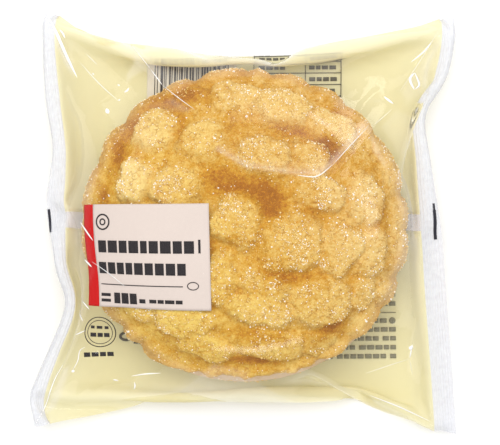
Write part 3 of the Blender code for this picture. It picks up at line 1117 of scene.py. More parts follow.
class PACK_OT_fin_seam(bpy.types.Operator):
    """The folded fin seam that lies flat along the middle of the back"""
    bl_idname = "melon_pan.fin_seam"
    bl_label = "Fin seam"

    def execute(self, context):
        film_length, film_height, seal_width = bag_size()
        middle = BAND_MIDDLE * film_height
        pouch = film_length - 2 * seal_width
        end = seal_width + FIN_END_GAP
        across = np.linspace(end, film_length - end, round(pouch) + 1)
        up = np.linspace(middle - FIN_WIDTH / 2, middle + FIN_WIDTH / 2, FIN_ROWS)
        across, up = np.meshgrid(across, up)
        crimp_height, crimp_pitch = FIN_CRIMP
        low = FIN_LIFT + crimp_height * np.sin(2 * np.pi * (up - middle) / crimp_pitch)
        points, faces = film_slab(1, across, up, low, low + FIN_THICKNESS)
        mesh_piece("fin_seam", points, faces, (fin_material(),))
        return {"FINISHED"}


CREASE_STEP = 0.5
CREASE_LIFTS = (0.06, 0.12)
CREASE_STEEPNESS = 0.45
CREASE_TIP = 0.06
CREASE_TAPER = 0.7


class PACK_OT_creases(bpy.types.Operator):
    """Thin ridges along sharp creases of the front film, painted white as their highlights"""
    bl_idname = "melon_pan.creases"
    bl_label = "Whitened creases"

    def execute(self, context):
        slabs, glint_strengths = [], []
        # Each crease is a thin raised ribbon, painted white as the crease's highlight
        for line, half_width, glint_strength in CREASE_GLINTS:
            run = np.linalg.norm(np.diff(np.array(line), axis=0), axis=1).sum()
            shares = np.linspace(0, 1, max(6, round(run / CREASE_STEP)))
            middle = smooth_side(line, shares)
            along = unit(np.gradient(middle, axis=0))
            side = np.stack((-along[:, 1], along[:, 0]), axis=1)
            half = half_width * (CREASE_TIP + (1 - CREASE_TIP) * np.sin(np.pi * shares) ** CREASE_TAPER)
            rows = np.stack([middle - side * half[:, None], middle, middle + side * half[:, None]])
            place = film_place(rows)
            crest = np.stack((0 * half, CREASE_STEEPNESS * half, 0 * half))
            slabs.append(film_slab(0, place[..., 0], place[..., 1], CREASE_LIFTS[0], CREASE_LIFTS[1] + crest))
            glint_strengths.append(np.full(len(slabs[-1][0]), glint_strength))
        points, faces = joined(slabs)
        creases = mesh_piece("film_crease_glints", points, faces, (crease_glint_material(),))
        vertex_values(creases, "milk_and_sheen", np.concatenate(glint_strengths))
        return {"FINISHED"}


# ---------------------------------------------------------------- prints

# Lifts off the film, low and high: a colour field, a mark on it, and a print that shows on both sides
FIELD_UNDER = (-0.34, -0.24)
MARK_UNDER = (-0.22, -0.12)
FIELD_THROUGH = (-0.22, 0.16)
MARK_THROUGH = (-0.30, 0.24)
SEAL_MARK_LIFTS = (-0.32, 0.34)
INK_DARK = (0.030, 0.026, 0.028)
SEAL_INK = (0.035, 0.035, 0.045)
FIELD_INK = (0.74, 0.68, 0.55)
BAR_INK = (0.06, 0.05, 0.045)
TABLE_INK = (0.13, 0.12, 0.09)
ROW_INK = (0.25, 0.235, 0.16)
SPOT_INK = (0.12, 0.11, 0.09)

# The label, and all print below: millimetres on the flat film from its lower left corner
LABEL_LEFT, LABEL_RIGHT = 23.6, 72.6
LABEL_BOTTOM, LABEL_TOP = 51.4, 89.4
LABEL_LEAN = 1.4
LABEL_TURN = 0.030
STRIP_WIDTH = 5.2
MARKS_INSET = 2.4
BAR_WIDTHS = (0.33, 0.33, 0.66, 0.99)


def print_piece(name, sheet, shapes, lifts, colour):
    """One print in one ink: patches and rings that follow the film."""
    slabs = [film_slab(sheet, across, up, *lifts, wrapped) for across, up, wrapped in shapes]
    points, faces = joined(slabs)
    return mesh_piece(name, points, faces, (ink_material(name + "_ink", colour),))


def dashes(left, middle, widths, gap, height):
    """A row of plain dashes from left to right, standing in for a line of print."""
    row = []
    for width in widths:
        row.append(bar(left, middle - height / 2, width, height))
        left += width + gap
    return row


def on_label(shapes):
    """Turns the label's patches a little about its lower left corner."""
    return [(across - LABEL_TURN * (up - LABEL_BOTTOM), up + LABEL_TURN * (across - LABEL_LEFT), wrapped)
            for across, up, wrapped in shapes]


def label_cover(across, up):
    """1 where the label lies on the front film, 0 elsewhere."""
    level = across + LABEL_TURN * (up - LABEL_BOTTOM)
    height = up - LABEL_TURN * (across - LABEL_LEFT)
    inside = (level > LABEL_LEFT) & (level < LABEL_RIGHT) & (height > LABEL_BOTTOM) & (height < LABEL_TOP)
    return inside.astype(float)


class PACK_OT_front_print(bpy.types.Operator):
    """Label, its strip and plain marks, and a ring mark below, printed on the clear front film"""
    bl_idname = "melon_pan.front_print"
    bl_label = "Front print"

    def execute(self, context):
        bag = context.scene.bag_film
        high = LABEL_TOP - LABEL_BOTTOM
        panel_left = LABEL_LEFT + STRIP_WIDTH
        panel_width = LABEL_RIGHT - panel_left
        across, up, wrapped = bar(LABEL_LEFT, LABEL_BOTTOM, STRIP_WIDTH, high)
        lean = LABEL_LEAN * (LABEL_TOP - up) / high
        strip = on_label([(across + lean, up, wrapped)])
        print_piece("label_strip", 0, strip, FIELD_UNDER, bag.strip_colour)
        across, up, wrapped = bar(panel_left, LABEL_BOTTOM, panel_width, high)
        lean = LABEL_LEAN * (LABEL_TOP - up) / high * (LABEL_RIGHT - across) / panel_width
        panel = on_label([(across + lean, up, wrapped)])
        print_piece("label_panel", 0, panel, FIELD_UNDER, bag.label_colour)

        left = panel_left + MARKS_INSET
        marks = [ring(left + 2.2, 82.9, 3.0, 3.0, 0.55), ring(left + 2.2, 82.9, 1.3, 1.3, 0.5)]
        marks += dashes(left, 73.9, (3.4, 3.7, 3.0, 3.6, 2.4, 3.3, 3.8, 3.2, 3.5), 0.75, 4.4)
        marks += [bar(left + 37.4, 71.8, 0.8, 4.8)]
        marks += dashes(left - 0.4, 66.0, (3.3, 3.0, 2.7, 2.5, 3.2, 3.0, 3.2, 3.3, 3.0), 0.75, 4.2)
        marks += [bar(left, 59.75, 31.6, 0.32), ring(left + 35.2, 60.2, 2.1, 1.5, 0.3)]
        marks += dashes(left, 56.0, (3.9,), 0.5, 1.1) + dashes(left, 53.9, (3.9,), 0.5, 1.1)
        marks += dashes(left + 5.4, 54.9, (2.4, 2.7, 2.7), 0.6, 4.0)
        marks += dashes(left + 15.4, 54.2, (2.3,), 0.5, 1.5)
        marks += dashes(left + 19.2, 54.3, (2.6, 2.2, 3.4, 2.4), 0.5, 1.3)
        print_piece("label_marks", 0, on_label(marks), MARK_UNDER, INK_DARK)

        stamp = [ring(30.6, 41.6, 6.3, 6.1, 0.35), ring(30.6, 41.6, 5.0, 4.8, 0.25)]
        stamp += dashes(27.0, 43.6, (1.5, 2.2, 1.5), 0.9, 1.1)
        stamp += dashes(26.9, 40.6, (2.3, 2.0, 2.1), 0.5, 1.6)
        stamp += dashes(24.2, 32.4, (2.4, 2.6, 2.2, 2.4), 0.55, 1.9)
        print_piece("stamp_mark", 0, stamp, MARK_UNDER, INK_DARK)
        return {"FINISHED"}


class PACK_OT_back_print(bpy.types.Operator):
    """Bar field, ruled table and rows of plain dashes printed on the back film"""
    bl_idname = "melon_pan.back_print"
    bl_label = "Back print"

    def execute(self, context):
        draw = random.Random(4)
        print_piece("bar_field", 1, [bar(46.8, 124.0, 34.4, 30.6)], FIELD_THROUGH, FIELD_INK)
        bars = []
        left = 49.6
        while left < 78.6:
            width = draw.choice(BAR_WIDTHS)
            bars.append(bar(left, 128.5, width, 25.6, 2.0))
            left += width + draw.choice(BAR_WIDTHS)
        print_piece("field_bars", 1, bars, MARK_THROUGH, BAR_INK)

        table = [bar(88.0, up, 34.0, 0.3) for up in np.arange(128.0, 158.0, 4.6)]
        table += [bar(left, 128.0, 0.3, 27.9) for left in (88.0, 108.0, 121.7)]
        for up in np.arange(130.3, 155.0, 4.6):
            table += dashes(109.6, up, [draw.uniform(1.6, 2.6) for _ in range(4)], 0.6, 1.5)
            table += dashes(90.0, up, [draw.uniform(1.6, 2.6) for _ in range(draw.randint(2, 5))], 0.6, 1.5)
        print_piece("back_table", 1, table, MARK_THROUGH, TABLE_INK)

        rows = [bar(102.0, 47.2, 42.2, 0.3), ring(142.8, 44.2, 1.25, 1.25, 1.2)]
        for up in (61.6, 58.1, 54.5, 50.9, 44.2, 40.7, 37.2, 33.7, 30.2):
            right = 144.1 if up != 44.2 else 140.6
            while right > 104.0:
                width = draw.uniform(1.9, 2.7)
                rows.append(bar(right - width, up - 0.85, width, 1.7))
                right -= width + (0.55 if draw.random() < 0.85 else 1.6)
        print_piece("back_rows", 1, rows, MARK_THROUGH, ROW_INK)

        spots = [ring(39.6, 38.4, 2.6, 1.9, 1.0)] + dashes(42.6, 36.2, (1.6, 1.2, 1.4), 0.5, 1.1)
        print_piece("back_spots", 1, spots, MARK_THROUGH, SPOT_INK)
        return {"FINISHED"}


class PACK_OT_seal_marks(bpy.types.Operator):
    """Dark registration marks printed in the two seals"""
    bl_idname = "melon_pan.seal_marks"
    bl_label = "Seal marks"

    def execute(self, context):
        film_length, _, _ = bag_size()
        marks = [bar(film_length - 3.2, 76.0, 1.2, 11.6), bar(film_length - 3.0, 87.6, 0.7, 2.6)]
        marks += [bar(0.5, 79.0, 0.9, 9.0)]
        print_piece("seal_marks", 0, marks, SEAL_MARK_LIFTS, SEAL_INK)
        return {"FINISHED"}


# ---------------------------------------------------------------- the bun

# The bun's outline: points down its dome, and the share of its radius where the mesh ends under the foot
DOME_POINTS = 400
FOOT_SHARE = 0.6

# The bun's grid: cells a side, and the share of them that covers the first stretch of crust from the top
CRUST_CELLS = 300
TOP_CELLS = 0.92
CRUST_RUN = 84.0

# The rim: its radius, where the skirt below it begins and is whole along the crust, and its notches
RIM_RADIUS = 61.0
SKIRT = (60, 68)
NOTCH_WIDTH = 3.4
NOTCH_SHARPNESS = 1.6

# Heights and depths of the crust's detail, and the room that sugar needs under the film
LIP_HEIGHT = 1.0
CRACK_DEPTH = 0.45
CRUMB_HEIGHT = 0.16
VALLEY_SWELL = 0.35
FOOT_ROUGHNESS = 0.3
GRAIN_ROOM = 0.35

# The highest value of browning and painted shade that the materials tell apart
MOST_BAKED_AND_SHADED = 1.12

# The crust's cracks: cell and width, and the noise that bends them
CRACK_CELL = 4.6
CRACK_WIDTH = 0.55
CRACK_WANDER = 0.35

# Where the cookie crust ends on its way down: degrees round the bun, and distance along the crust
CRUST_END_TURN = (0, 190, 228, 240, 262, 282, 300, 318, 336, 352, 360)
CRUST_END = (86, 86, 80, 70, 64.5, 64.0, 66.5, 69.0, 76.0, 86, 86)
FOOT_SET_BACK = 2.3


def bun_profile():
    """The bun's outline from its top down and in under its foot: run, share of radius and height."""
    half_width, half_depth, height, widest = bun_size()
    turn = np.linspace(0, np.pi / 2, DOME_POINTS)
    down_power, foot_power = 2 / DOME_FULLNESS, 2 / FOOT_FULLNESS
    share = np.concatenate((np.sin(turn) ** down_power, np.cos(turn[1:]) ** foot_power))
    level = np.concatenate((widest + (height - widest) * np.cos(turn) ** down_power,
                            widest - widest * np.sin(turn[1:]) ** foot_power))
    kept = np.append(np.ones(DOME_POINTS, dtype=bool), share[DOME_POINTS:] > FOOT_SHARE)
    share, level = share[kept], level[kept]
    steps = np.hypot(np.diff(share) * (half_width + half_depth) / 2, np.diff(level))
    return np.concatenate(((0,), np.cumsum(steps))), share, level


def smooth_step(low, high, value):
    """0 below low, 1 above high, smooth between."""
    part = np.clip((value - low) / (high - low), 0, 1)
    return part * part * (3 - 2 * part)


def block_relief(crust):
    """How far up the cookie crust's blocks each crust place is, from 0 in a valley to 1 on a block.

    Places are measured along the crust from the top of the bun.
    """
    wander = np.stack([sum(lattice_noise(crust, cell, seed + axis) * reach for cell, seed, reach in WANDER)
                       for axis in range(2)], axis=-1)
    place = crust + wander
    run, share, _ = bun_profile()
    half_width, half_depth, _, _ = bun_size()
    relief = np.zeros(crust.shape[:-1])
    for number, (x, y, half_x, half_y, tall) in enumerate(BLOCKS):
        seen = math.hypot(x / half_width, y / half_depth)
        reach = float(np.interp(seen, share[:DOME_POINTS], run[:DOME_POINTS])) / math.hypot(x, y)
        turn = BLOCK_TURN + (hash_unit(np.array([number, 3]), 8) - 0.5) * BLOCK_TURN_SPREAD
        offset = place - np.array((x, y)) * reach
        along = (offset[..., 0] * math.cos(turn) + offset[..., 1] * math.sin(turn)) / half_x
        across = (offset[..., 1] * math.cos(turn) - offset[..., 0] * math.sin(turn)) / half_y
        far = np.abs(along) ** BLOCK_SQUARENESS + np.abs(across) ** BLOCK_SQUARENESS
        far = far ** (1 / BLOCK_SQUARENESS) / BLOCK_SPREAD
        away = np.clip((offset @ (np.array((x, y)) / math.hypot(x, y))) / max(half_x, half_y), -1, 1)
        crown = 1 - CROWN_DROP * np.clip(far, 0, 1) ** 2 + CROWN_TILT * away
        soft = (SLOPE_END - 0.10 * away - far) / (SLOPE_WIDTH - 0.16 * away)
        relief = np.maximum(relief, tall * crown * smooth_step(0, 1, soft))
    return np.maximum(relief, rim_relief(place))


def rim_relief(place):
    """The ring of soft lobes below the outermost blocks, parted by short notches."""
    distance = np.hypot(place[..., 0], place[..., 1])
    angle = np.arctan2(place[..., 1], place[..., 0])
    notch = np.full(distance.shape, np.inf)
    for number in range(RIM_LOBES):
        jitter = hash_unit(np.array([number, 1]), 21) - 0.5
        middle = 2 * np.pi * (number + LOBE_JITTER * jitter) / RIM_LOBES
        notch = np.minimum(notch, np.abs((angle - middle + np.pi) % (2 * np.pi) - np.pi) * RIM_RADIUS)
    lobe = 1 - np.exp(-(notch / NOTCH_WIDTH) ** NOTCH_SHARPNESS)
    swell = 0.12 * lattice_noise(place, 12.0, 77)
    filled_to, filled_share = SHALLOW_NOTCH
    shallow = filled_share * smooth_step(-0.4, 0.4, lattice_noise(place, 18.0, 78))
    lobe = lobe + (filled_to - lobe) * shallow
    return smooth_step(*RIM_RISE, distance) * (RIM_HEIGHT + LOBE_HEIGHT * lobe + swell)


class PACK_OT_bun(bpy.types.Operator):
    """The bun: a soft bread dome under a scored cookie crust with raised, crumbly blocks"""
    bl_idname = "melon_pan.bun"
    bl_label = "Bun"

    def execute(self, context):
        points, faces, values = crust_surface()
        bun = mesh_piece("bun_crust", points, faces, (crust_material(),))
        for name, value in values.items():
            vertex_values(bun, name, value)
        return {"FINISHED"}


def plain_bun(cells):
    """The bun's smooth surface as a square grid of places.

    Gives each place's distance along the crust from the top, its angle, its plan and height, and the way out.
    """
    half_width, half_depth, height, widest = bun_size()
    run, share, level = bun_profile()
    side = np.linspace(-1, 1, cells + 1)
    x, y = np.meshgrid(side, side)
    round_x, round_y = x * np.sqrt(1 - y * y / 2), y * np.sqrt(1 - x * x / 2)
    distance = np.interp(np.hypot(round_x, round_y), (0, TOP_CELLS, 1), (0, CRUST_RUN, run[-1]))
    angle = np.arctan2(round_y, round_x)
    radius = np.interp(distance, run, share)
    body = np.stack((radius * np.cos(angle) * half_width, radius * np.sin(angle) * half_depth,
                     np.interp(distance, run, level)), axis=-1)
    up = body[..., 2]
    above = up > widest
    fullness = np.where(above, DOME_FULLNESS, FOOT_FULLNESS)
    reach = np.where(above, height - widest, widest)
    steep = np.maximum(radius, 1e-4) ** (fullness - 2)
    climb = np.sign(up - widest) * (np.abs(up - widest) / reach) ** (fullness - 1) / reach
    outward = (steep * body[..., 0] / half_width ** 2, steep * body[..., 1] / half_depth ** 2, climb)
    return distance, angle, body, unit(np.stack(outward, axis=-1))


def patch_sum(body, patches):
    """Adds up soft oval patches (middle, half width, half depth, turn, strength) at plan places."""
    total = np.zeros(body.shape[:-1])
    for x, y, half_x, half_y, turn, strength in patches:
        turn = math.radians(turn)
        off_x, off_y = body[..., 0] - x, body[..., 1] - y
        along = (off_x * math.cos(turn) + off_y * math.sin(turn)) / half_x
        across = (off_y * math.cos(turn) - off_x * math.sin(turn)) / half_y
        total += strength * np.exp(-(along ** 2 + across ** 2))
    return total


@functools.lru_cache(maxsize=1)
def crust_surface():
    """Points, faces and values of the bun's whole surface, browning and painted shade among them."""
    bun = bpy.context.scene.bun_crust
    cells = CRUST_CELLS
    distance, angle, body, outward = plain_bun(cells)
    way = np.stack((np.cos(angle), np.sin(angle)), axis=-1)
    crust = distance[..., None] * way
    relief = block_relief(crust)
    cookie_end = np.interp(np.degrees(angle) % 360, CRUST_END_TURN, CRUST_END)
    rim = way * RIM_RADIUS
    cookie_end += 1.2 * lattice_noise(rim, 6.0, 70) + 0.7 * lattice_noise(rim, 2.2, 71)
    cookie = 1 - smooth_step(-0.5, 0.5, distance - cookie_end)
    skirt = smooth_step(*SKIRT, distance)

    crumb = lattice_noise(body, 1.9, 5) * 0.6 + lattice_noise(body, 1.1, 6) * 0.5
    swell = lattice_noise(body, 16.0, 7)
    borders = cell_borders(crust + crumb[..., None] * CRACK_WANDER, CRACK_CELL, 30)
    cracks = 1 - smooth_step(0.0, CRACK_WIDTH, borders)
    cracks *= smooth_step(0.15, 0.7, lattice_noise(crust, 7.0, 31) * 0.5 + 0.5)
    cracks *= smooth_step(0.25, 0.7, relief) * (1 - skirt)
    rough = (0.35 + 0.65 * relief) * (1 - 0.6 * skirt)
    depth = bun.valley_depth / MM * (1 - relief) * cookie
    depth += CRACK_DEPTH * cracks * cookie - CRUMB_HEIGHT * crumb * rough * cookie
    depth -= VALLEY_SWELL * swell * (1 - relief)
    lip = np.exp(-((distance - cookie_end + 2.2) / 2.0) ** 2) * smooth_step(84, 76, cookie_end)
    depth -= LIP_HEIGHT * lip * cookie
    depth += (1 - cookie) * (FOOT_SET_BACK + FOOT_ROUGHNESS * lattice_noise(body, 5.0, 12))
    depth = np.maximum(depth, 0.0) + GRAIN_ROOM
    points = body - outward * depth[..., None] + np.array((*BUN_CENTRE, BUN_LEVEL))

    upper_left = smooth_step(-0.2, 0.9, np.cos(angle - math.radians(125)))
    middle = smooth_step(48, 22, np.hypot(crust[..., 0] - 8, crust[..., 1]))
    baked_and_shaded = 0.03 + 0.40 * (1 - relief) + 0.22 * skirt * upper_left
    baked_and_shaded += 0.12 * swell + 0.08 * lattice_noise(body, 6.0, 9) + 0.25 * cracks
    # A darker middle leaves the outer blocks paler: partly the sugar's own paleness, partly a painted film
    # veil
    baked_and_shaded += 0.26 * middle * (0.45 + 0.55 * relief)
    # Browned spots and darker grooves, with painted shade under the crust's lower edge
    baked_and_shaded += patch_sum(body, BROWNED_AND_SHADED) * (1 - 0.5 * relief)
    frost = patch_sum(body, [(x, y, reach, reach, 0, strength) for x, y, reach, strength in FROSTED])
    values = {
        "baked_and_shaded": np.clip(baked_and_shaded, 0, MOST_BAKED_AND_SHADED), "relief": relief, "cookie": cookie, "skirt": skirt,
        "yellow": smooth_step(-50, 50, -(body[..., 0] * 0.8 + body[..., 1] * 0.6)),
        "crumbly": (1 - 0.55 * skirt) * cookie, "peach": np.cos(angle) ** 2,
        "frost": np.clip(frost * relief, 0, 1),
    }

    count = cells + 1
    number = np.arange(count * count).reshape(count, count)
    border = np.concatenate((number[0, :-1], number[:-1, -1], number[-1, :0:-1], number[:0:-1, 0]))
    faces = [*quads(number), border[::-1]]
    return points.reshape(-1, 3), faces, {name: value.ravel() for name, value in values.items()}


# Fine, crumbly and blotchy unevenness: noise scale, detail and roughness, and its weight in the colour
CRUST_GRAINS = (((1500.0, 2.0, 0.6), 0.9), ((480.0, 4.0, 0.65), 0.95), ((120.0, 3.0, 0.5), 0.40))

# Fine cracks in the crust: cells across a metre, line width, patches across a metre, and where patches start
FINE_CRACKS = ((300.0, 0.055, 230.0, 0.55), (640.0, 0.085, 350.0, 0.55))
CRACK_BEND = 0.0022
CRACK_PATCH_EDGE = 0.08
DEEPEST_BROWN = (0.27, 0.09, 0.004)
FROSTED_COLOUR = (0.86, 0.68, 0.36)
PIT_COLOUR = (0.60, 0.25, 0.015)
CRACK_COLOUR = (0.44, 0.17, 0.012)
# Tints multiplied into the crust: bluer and paler towards the upper right as a painted film veil, yellower
# towards the lower left
YELLOW_AND_VEIL_TINTS = ((1.0, 1.0, 1.12), (1.0, 1.0, 0.70))
FOOT_COLOURS = ((0.2, (0.70, 0.50, 0.30)), (0.7, (0.64, 0.43, 0.22)), (1.0, (0.47, 0.26, 0.09)))
SIDE_COLOURS = ((0.1, (0.64, 0.41, 0.17)), (0.45, (0.58, 0.33, 0.085)), (0.75, (0.50, 0.23, 0.03)))
DEEP_SIDE_COLOURS = ((0.1, (0.66, 0.37, 0.09)), (0.45, (0.60, 0.30, 0.045)), (0.75, (0.50, 0.22, 0.018)))


def fine_cracks(tree, where):
    """Patches of fine crack lines between crumbs, from 0 to 1."""
    bent = node(tree, "ShaderNodeTexNoise", {"Vector": where, "Scale": 500.0, "Detail": 3.0})
    reach = (CRACK_BEND, CRACK_BEND, CRACK_BEND)
    bend = node(tree, "ShaderNodeVectorMath", {0: bent.outputs["Color"], 1: reach}, operation="MULTIPLY")
    place = node(tree, "ShaderNodeVectorMath", {0: where, 1: bend.outputs[0]}, operation="ADD").outputs[0]
    lines = []
    for scale, width, patches, cut in FINE_CRACKS:
        cells = node(tree, "ShaderNodeTexVoronoi", {"Vector": place, "Scale": scale},
                     feature="DISTANCE_TO_EDGE")
        line = spread(tree, cells.outputs["Distance"], 0.0, width, 1.0, 0.0)
        mask = spread(tree, noise(tree, where, patches), cut, cut + CRACK_PATCH_EDGE)
        lines.append(calc(tree, "MULTIPLY", line, mask))
    return calc(tree, "MAXIMUM", *lines)


def crust_material():
    """Baked cookie crust: pale crumbly tops with fine cracks, golden slopes, brown valleys and bread foot."""
    bun = bpy.context.scene.bun_crust
    material, tree, surface = empty_material("cookie_crust")
    where = object_place(tree)
    baked_and_shaded, cookie, yellow, crumbly, skirt, peach, frost = (
        attribute(tree, name) for name in ("baked_and_shaded", "cookie", "yellow", "crumbly", "skirt", "peach", "frost"))
    fine, crumb, blotch = (noise(tree, where, *grain) for grain, _ in CRUST_GRAINS)
    cracks = calc(tree, "MULTIPLY", fine_cracks(tree, where), crumbly)
    pits = calc(tree, "MULTIPLY", spread(tree, noise(tree, where, 1050.0), 0.42, 0.31), crumbly)

    # The baking values also hold painted shade under the crust's lower edge and a painted veil on the outer
    # blocks
    level = baked_and_shaded
    for texture, (_, weight) in zip((fine, crumb, blotch), CRUST_GRAINS):
        change = calc(tree, "MULTIPLY", calc(tree, "SUBTRACT", texture, 0.5), weight)
        level = calc(tree, "ADD", level, change)
    pale, golden, brown = (tuple(colour) for colour in (bun.pale_colour, bun.golden_colour, bun.brown_colour))
    between = tuple((first + second) / 2 for first, second in zip(pale, golden))
    crust = ramp(tree, level, ((0.05, pale), (0.35, between), (0.62, golden), (1.0, brown)))
    crust = mix_colour(tree, spread(tree, level, 0.92, 1.5), crust, DEEPEST_BROWN)
    # Painted film veil: bluer towards the upper right, yellower towards the lower left
    crust = mix_colour(tree, 1.0, crust, mix_colour(tree, yellow, *YELLOW_AND_VEIL_TINTS), "MULTIPLY")
    sides = (ramp(tree, level, (*stops, (1.0, brown))) for stops in (DEEP_SIDE_COLOURS, SIDE_COLOURS))
    side = mix_colour(tree, peach, *sides)
    for mask, weight, colour in ((skirt, 0.85, side), (frost, 0.45, FROSTED_COLOUR), (pits, 0.6, PIT_COLOUR),
                                 (cracks, 0.75, CRACK_COLOUR)):
        crust = mix_colour(tree, calc(tree, "MULTIPLY", mask, weight), crust, colour)
    colour = mix_colour(tree, cookie, ramp(tree, level, FOOT_COLOURS), crust)

    height = calc(tree, "ADD", calc(tree, "MULTIPLY", fine, 0.35), calc(tree, "MULTIPLY", crumb, 1.3))
    height = calc(tree, "MULTIPLY", height, calc(tree, "ADD", 0.3, calc(tree, "MULTIPLY", crumbly, 0.7)))
    height = calc(tree, "SUBTRACT", height, calc(tree, "MULTIPLY", cracks, 0.3))
    bump = node(tree, "ShaderNodeBump", {"Strength": 0.65, "Distance": 0.0006, "Height": height})
    baked_crust = principled(tree, colour, 0.6, Specular_IOR_Level=0.3, Normal=bump.outputs["Normal"])
    tree.links.new(baked_crust, surface)
    return material


# ---------------------------------------------------------------- sugar

SIZE_SPREAD = 0.28
WORN_CORNERS = 0.3
STANDING_PROUD = 0.22
BOX_CORNERS = np.array(list(itertools.product((-0.5, 0.5), repeat=3)))
BOX_SIDES = np.array(((0, 1, 3, 2), (4, 6, 7, 5), (0, 4, 5, 1), (2, 3, 7, 6), (0, 2, 6, 4), (1, 5, 7, 3)))
SUGAR_COLOURS = ((0.0, (0.71, 0.45, 0.09)), (0.52, (0.80, 0.57, 0.20)), (0.82, (0.91, 0.78, 0.48)),
                 (0.95, (1.0, 0.98, 0.92)))


def sugar_wanted(grid, values):
    """How much sugar each cell of the crust holds: most on clumped, crumbly, pale blocks."""
    relief, crumbly, baked_and_shaded = (values[name][:-1, :-1] for name in ("relief", "crumbly", "baked_and_shaded"))
    area = np.linalg.norm(np.cross(grid[:-1, 1:] - grid[:-1, :-1], grid[1:, :-1] - grid[:-1, :-1]), axis=-1)
    clump = smooth_step(-0.3, 0.6, lattice_noise(grid, 5.0, 61)[:-1, :-1])
    clump *= smooth_step(-0.5, 0.5, lattice_noise(grid, 1.7, 62)[:-1, :-1])
    wanted = area * (0.12 + relief ** 1.5) * (0.12 + clump) * (0.08 + 0.92 * crumbly)
    return wanted * (1.3 - np.clip(baked_and_shaded, 0.1, 0.85))


class PACK_OT_sugar(bpy.types.Operator):
    """Sugar crystals pressed into the crust, thickest on the blocks"""
    bl_idname = "melon_pan.sugar"
    bl_label = "Sugar"

    def execute(self, context):
        bun = context.scene.bun_crust
        points, _, values = crust_surface()
        count = round(math.sqrt(len(points)))
        grid = points.reshape(count, count, 3)
        values = {name: value.reshape(count, count) for name, value in values.items()}
        chance = np.cumsum(sugar_wanted(grid, values).ravel())
        draw = np.random.default_rng(17)
        grains = bun.sugar_grains
        cell = np.searchsorted(chance, draw.random(grains) * chance[-1])
        row, column = np.divmod(cell, count - 1)
        part = draw.random((grains, 2))
        place = sample_flat(grid, row + part[:, 0], column + part[:, 1])
        size = bun.sugar_size / MM * np.exp(draw.normal(0, SIZE_SPREAD, grains))
        shape = BOX_CORNERS[None] * draw.uniform(0.7, 1.25, (grains, 1, 3))
        shape = shape * (1 - WORN_CORNERS * draw.random((grains, 8, 1)))
        turned = np.einsum("gij,gkj->gki", random_turns(draw, grains), shape)
        here = grid[row, column]
        normal = unit(np.cross(grid[row, column + 1] - here, grid[row + 1, column] - here), 1e-12)
        lifted = place + normal * (size * STANDING_PROUD)[:, None]
        crystal_points = (lifted[:, None] + turned * size[:, None, None]).reshape(-1, 3)
        faces = (np.arange(grains)[:, None, None] * 8 + BOX_SIDES[None]).reshape(-1, 4)
        sugar = mesh_piece("sugar_crystals", crystal_points, faces, (sugar_material(),),
                           smooth=False)
        clearness = np.clip(draw.random(grains) + 0.35 * values["frost"][row, column], 0, 1)
        vertex_values(sugar, "clearness", np.repeat(clearness, 8))
        return {"FINISHED"}


def sample_flat(grid, row, column):
    """Bilinear values of a grid at fractional rows and columns."""
    row0, column0 = np.floor(row).astype(int), np.floor(column).astype(int)
    down, right = (row - row0)[:, None], (column - column0)[:, None]
    upper = grid[row0, column0] * (1 - right) + grid[row0, column0 + 1] * right
    lower = grid[row0 + 1, column0] * (1 - right) + grid[row0 + 1, column0 + 1] * right
    return upper * (1 - down) + lower * down


def random_turns(draw, count):
    """Random rotation matrices."""
    w, x, y, z = unit(draw.normal(size=(count, 4))).T
    parts = (1 - 2 * (y * y + z * z), 2 * (x * y - z * w), 2 * (x * z + y * w),
             2 * (x * y + z * w), 1 - 2 * (x * x + z * z), 2 * (y * z - x * w),
             2 * (x * z - y * w), 2 * (y * z + x * w), 1 - 2 * (x * x + y * y))
    return np.stack(parts, axis=-1).reshape(-1, 3, 3)


def sugar_material():
    """White and amber sugar crystals that glint."""
    material, tree, surface = empty_material("sugar")
    colour = ramp(tree, attribute(tree, "clearness"), SUGAR_COLOURS)
    tree.links.new(principled(tree, colour, 0.25, Specular_IOR_Level=0.4), surface)
    return material


# ---------------------------------------------------------------- studio

FLOOR_SIZE = 4.0
FLOOR_DROP = 0.0002
CAMERA_OFFSET = (0.0023, 0.00025)
LIGHT_AIM = Vector((0, 0, 0.02))
KEY_PLACE = (-0.12, 0.36, 1.3)
KEY_SIZE = (1.3, 1.3)

# Small panels that the film mirrors: name, place, size and share of the key light's power
PANELS = (
    ("top_panel", (0.26, 0.78, 0.92), (0.62, 0.32), 0.042),
    ("top_glint", (0.62, 0.85, 0.74), (0.30, 0.14), 0.024),
    ("right_panel", (1.00, 0.05, 0.85), (0.34, 0.28), 0.031),
    ("left_panel", (-0.80, 0.60, 0.80), (0.36, 0.26), 0.017),
    ("low_panel", (0.10, -1.00, 0.85), (0.7, 0.12), 0.05),
)


def area_light(name, place, size, power, glossy=True):
    """A soft light panel that faces the bun, with or without its own reflection in the film."""
    light = bpy.data.lights.new(name, "AREA")
    light.shape = "RECTANGLE"
    light.size, light.size_y = size
    light.energy = power
    lamp = bpy.data.objects.new(name, light)
    lamp.visible_glossy = glossy
    lamp.location = place
    lamp.rotation_euler = (LIGHT_AIM - Vector(place)).to_track_quat("-Z", "Y").to_euler()
    bpy.context.scene.collection.objects.link(lamp)


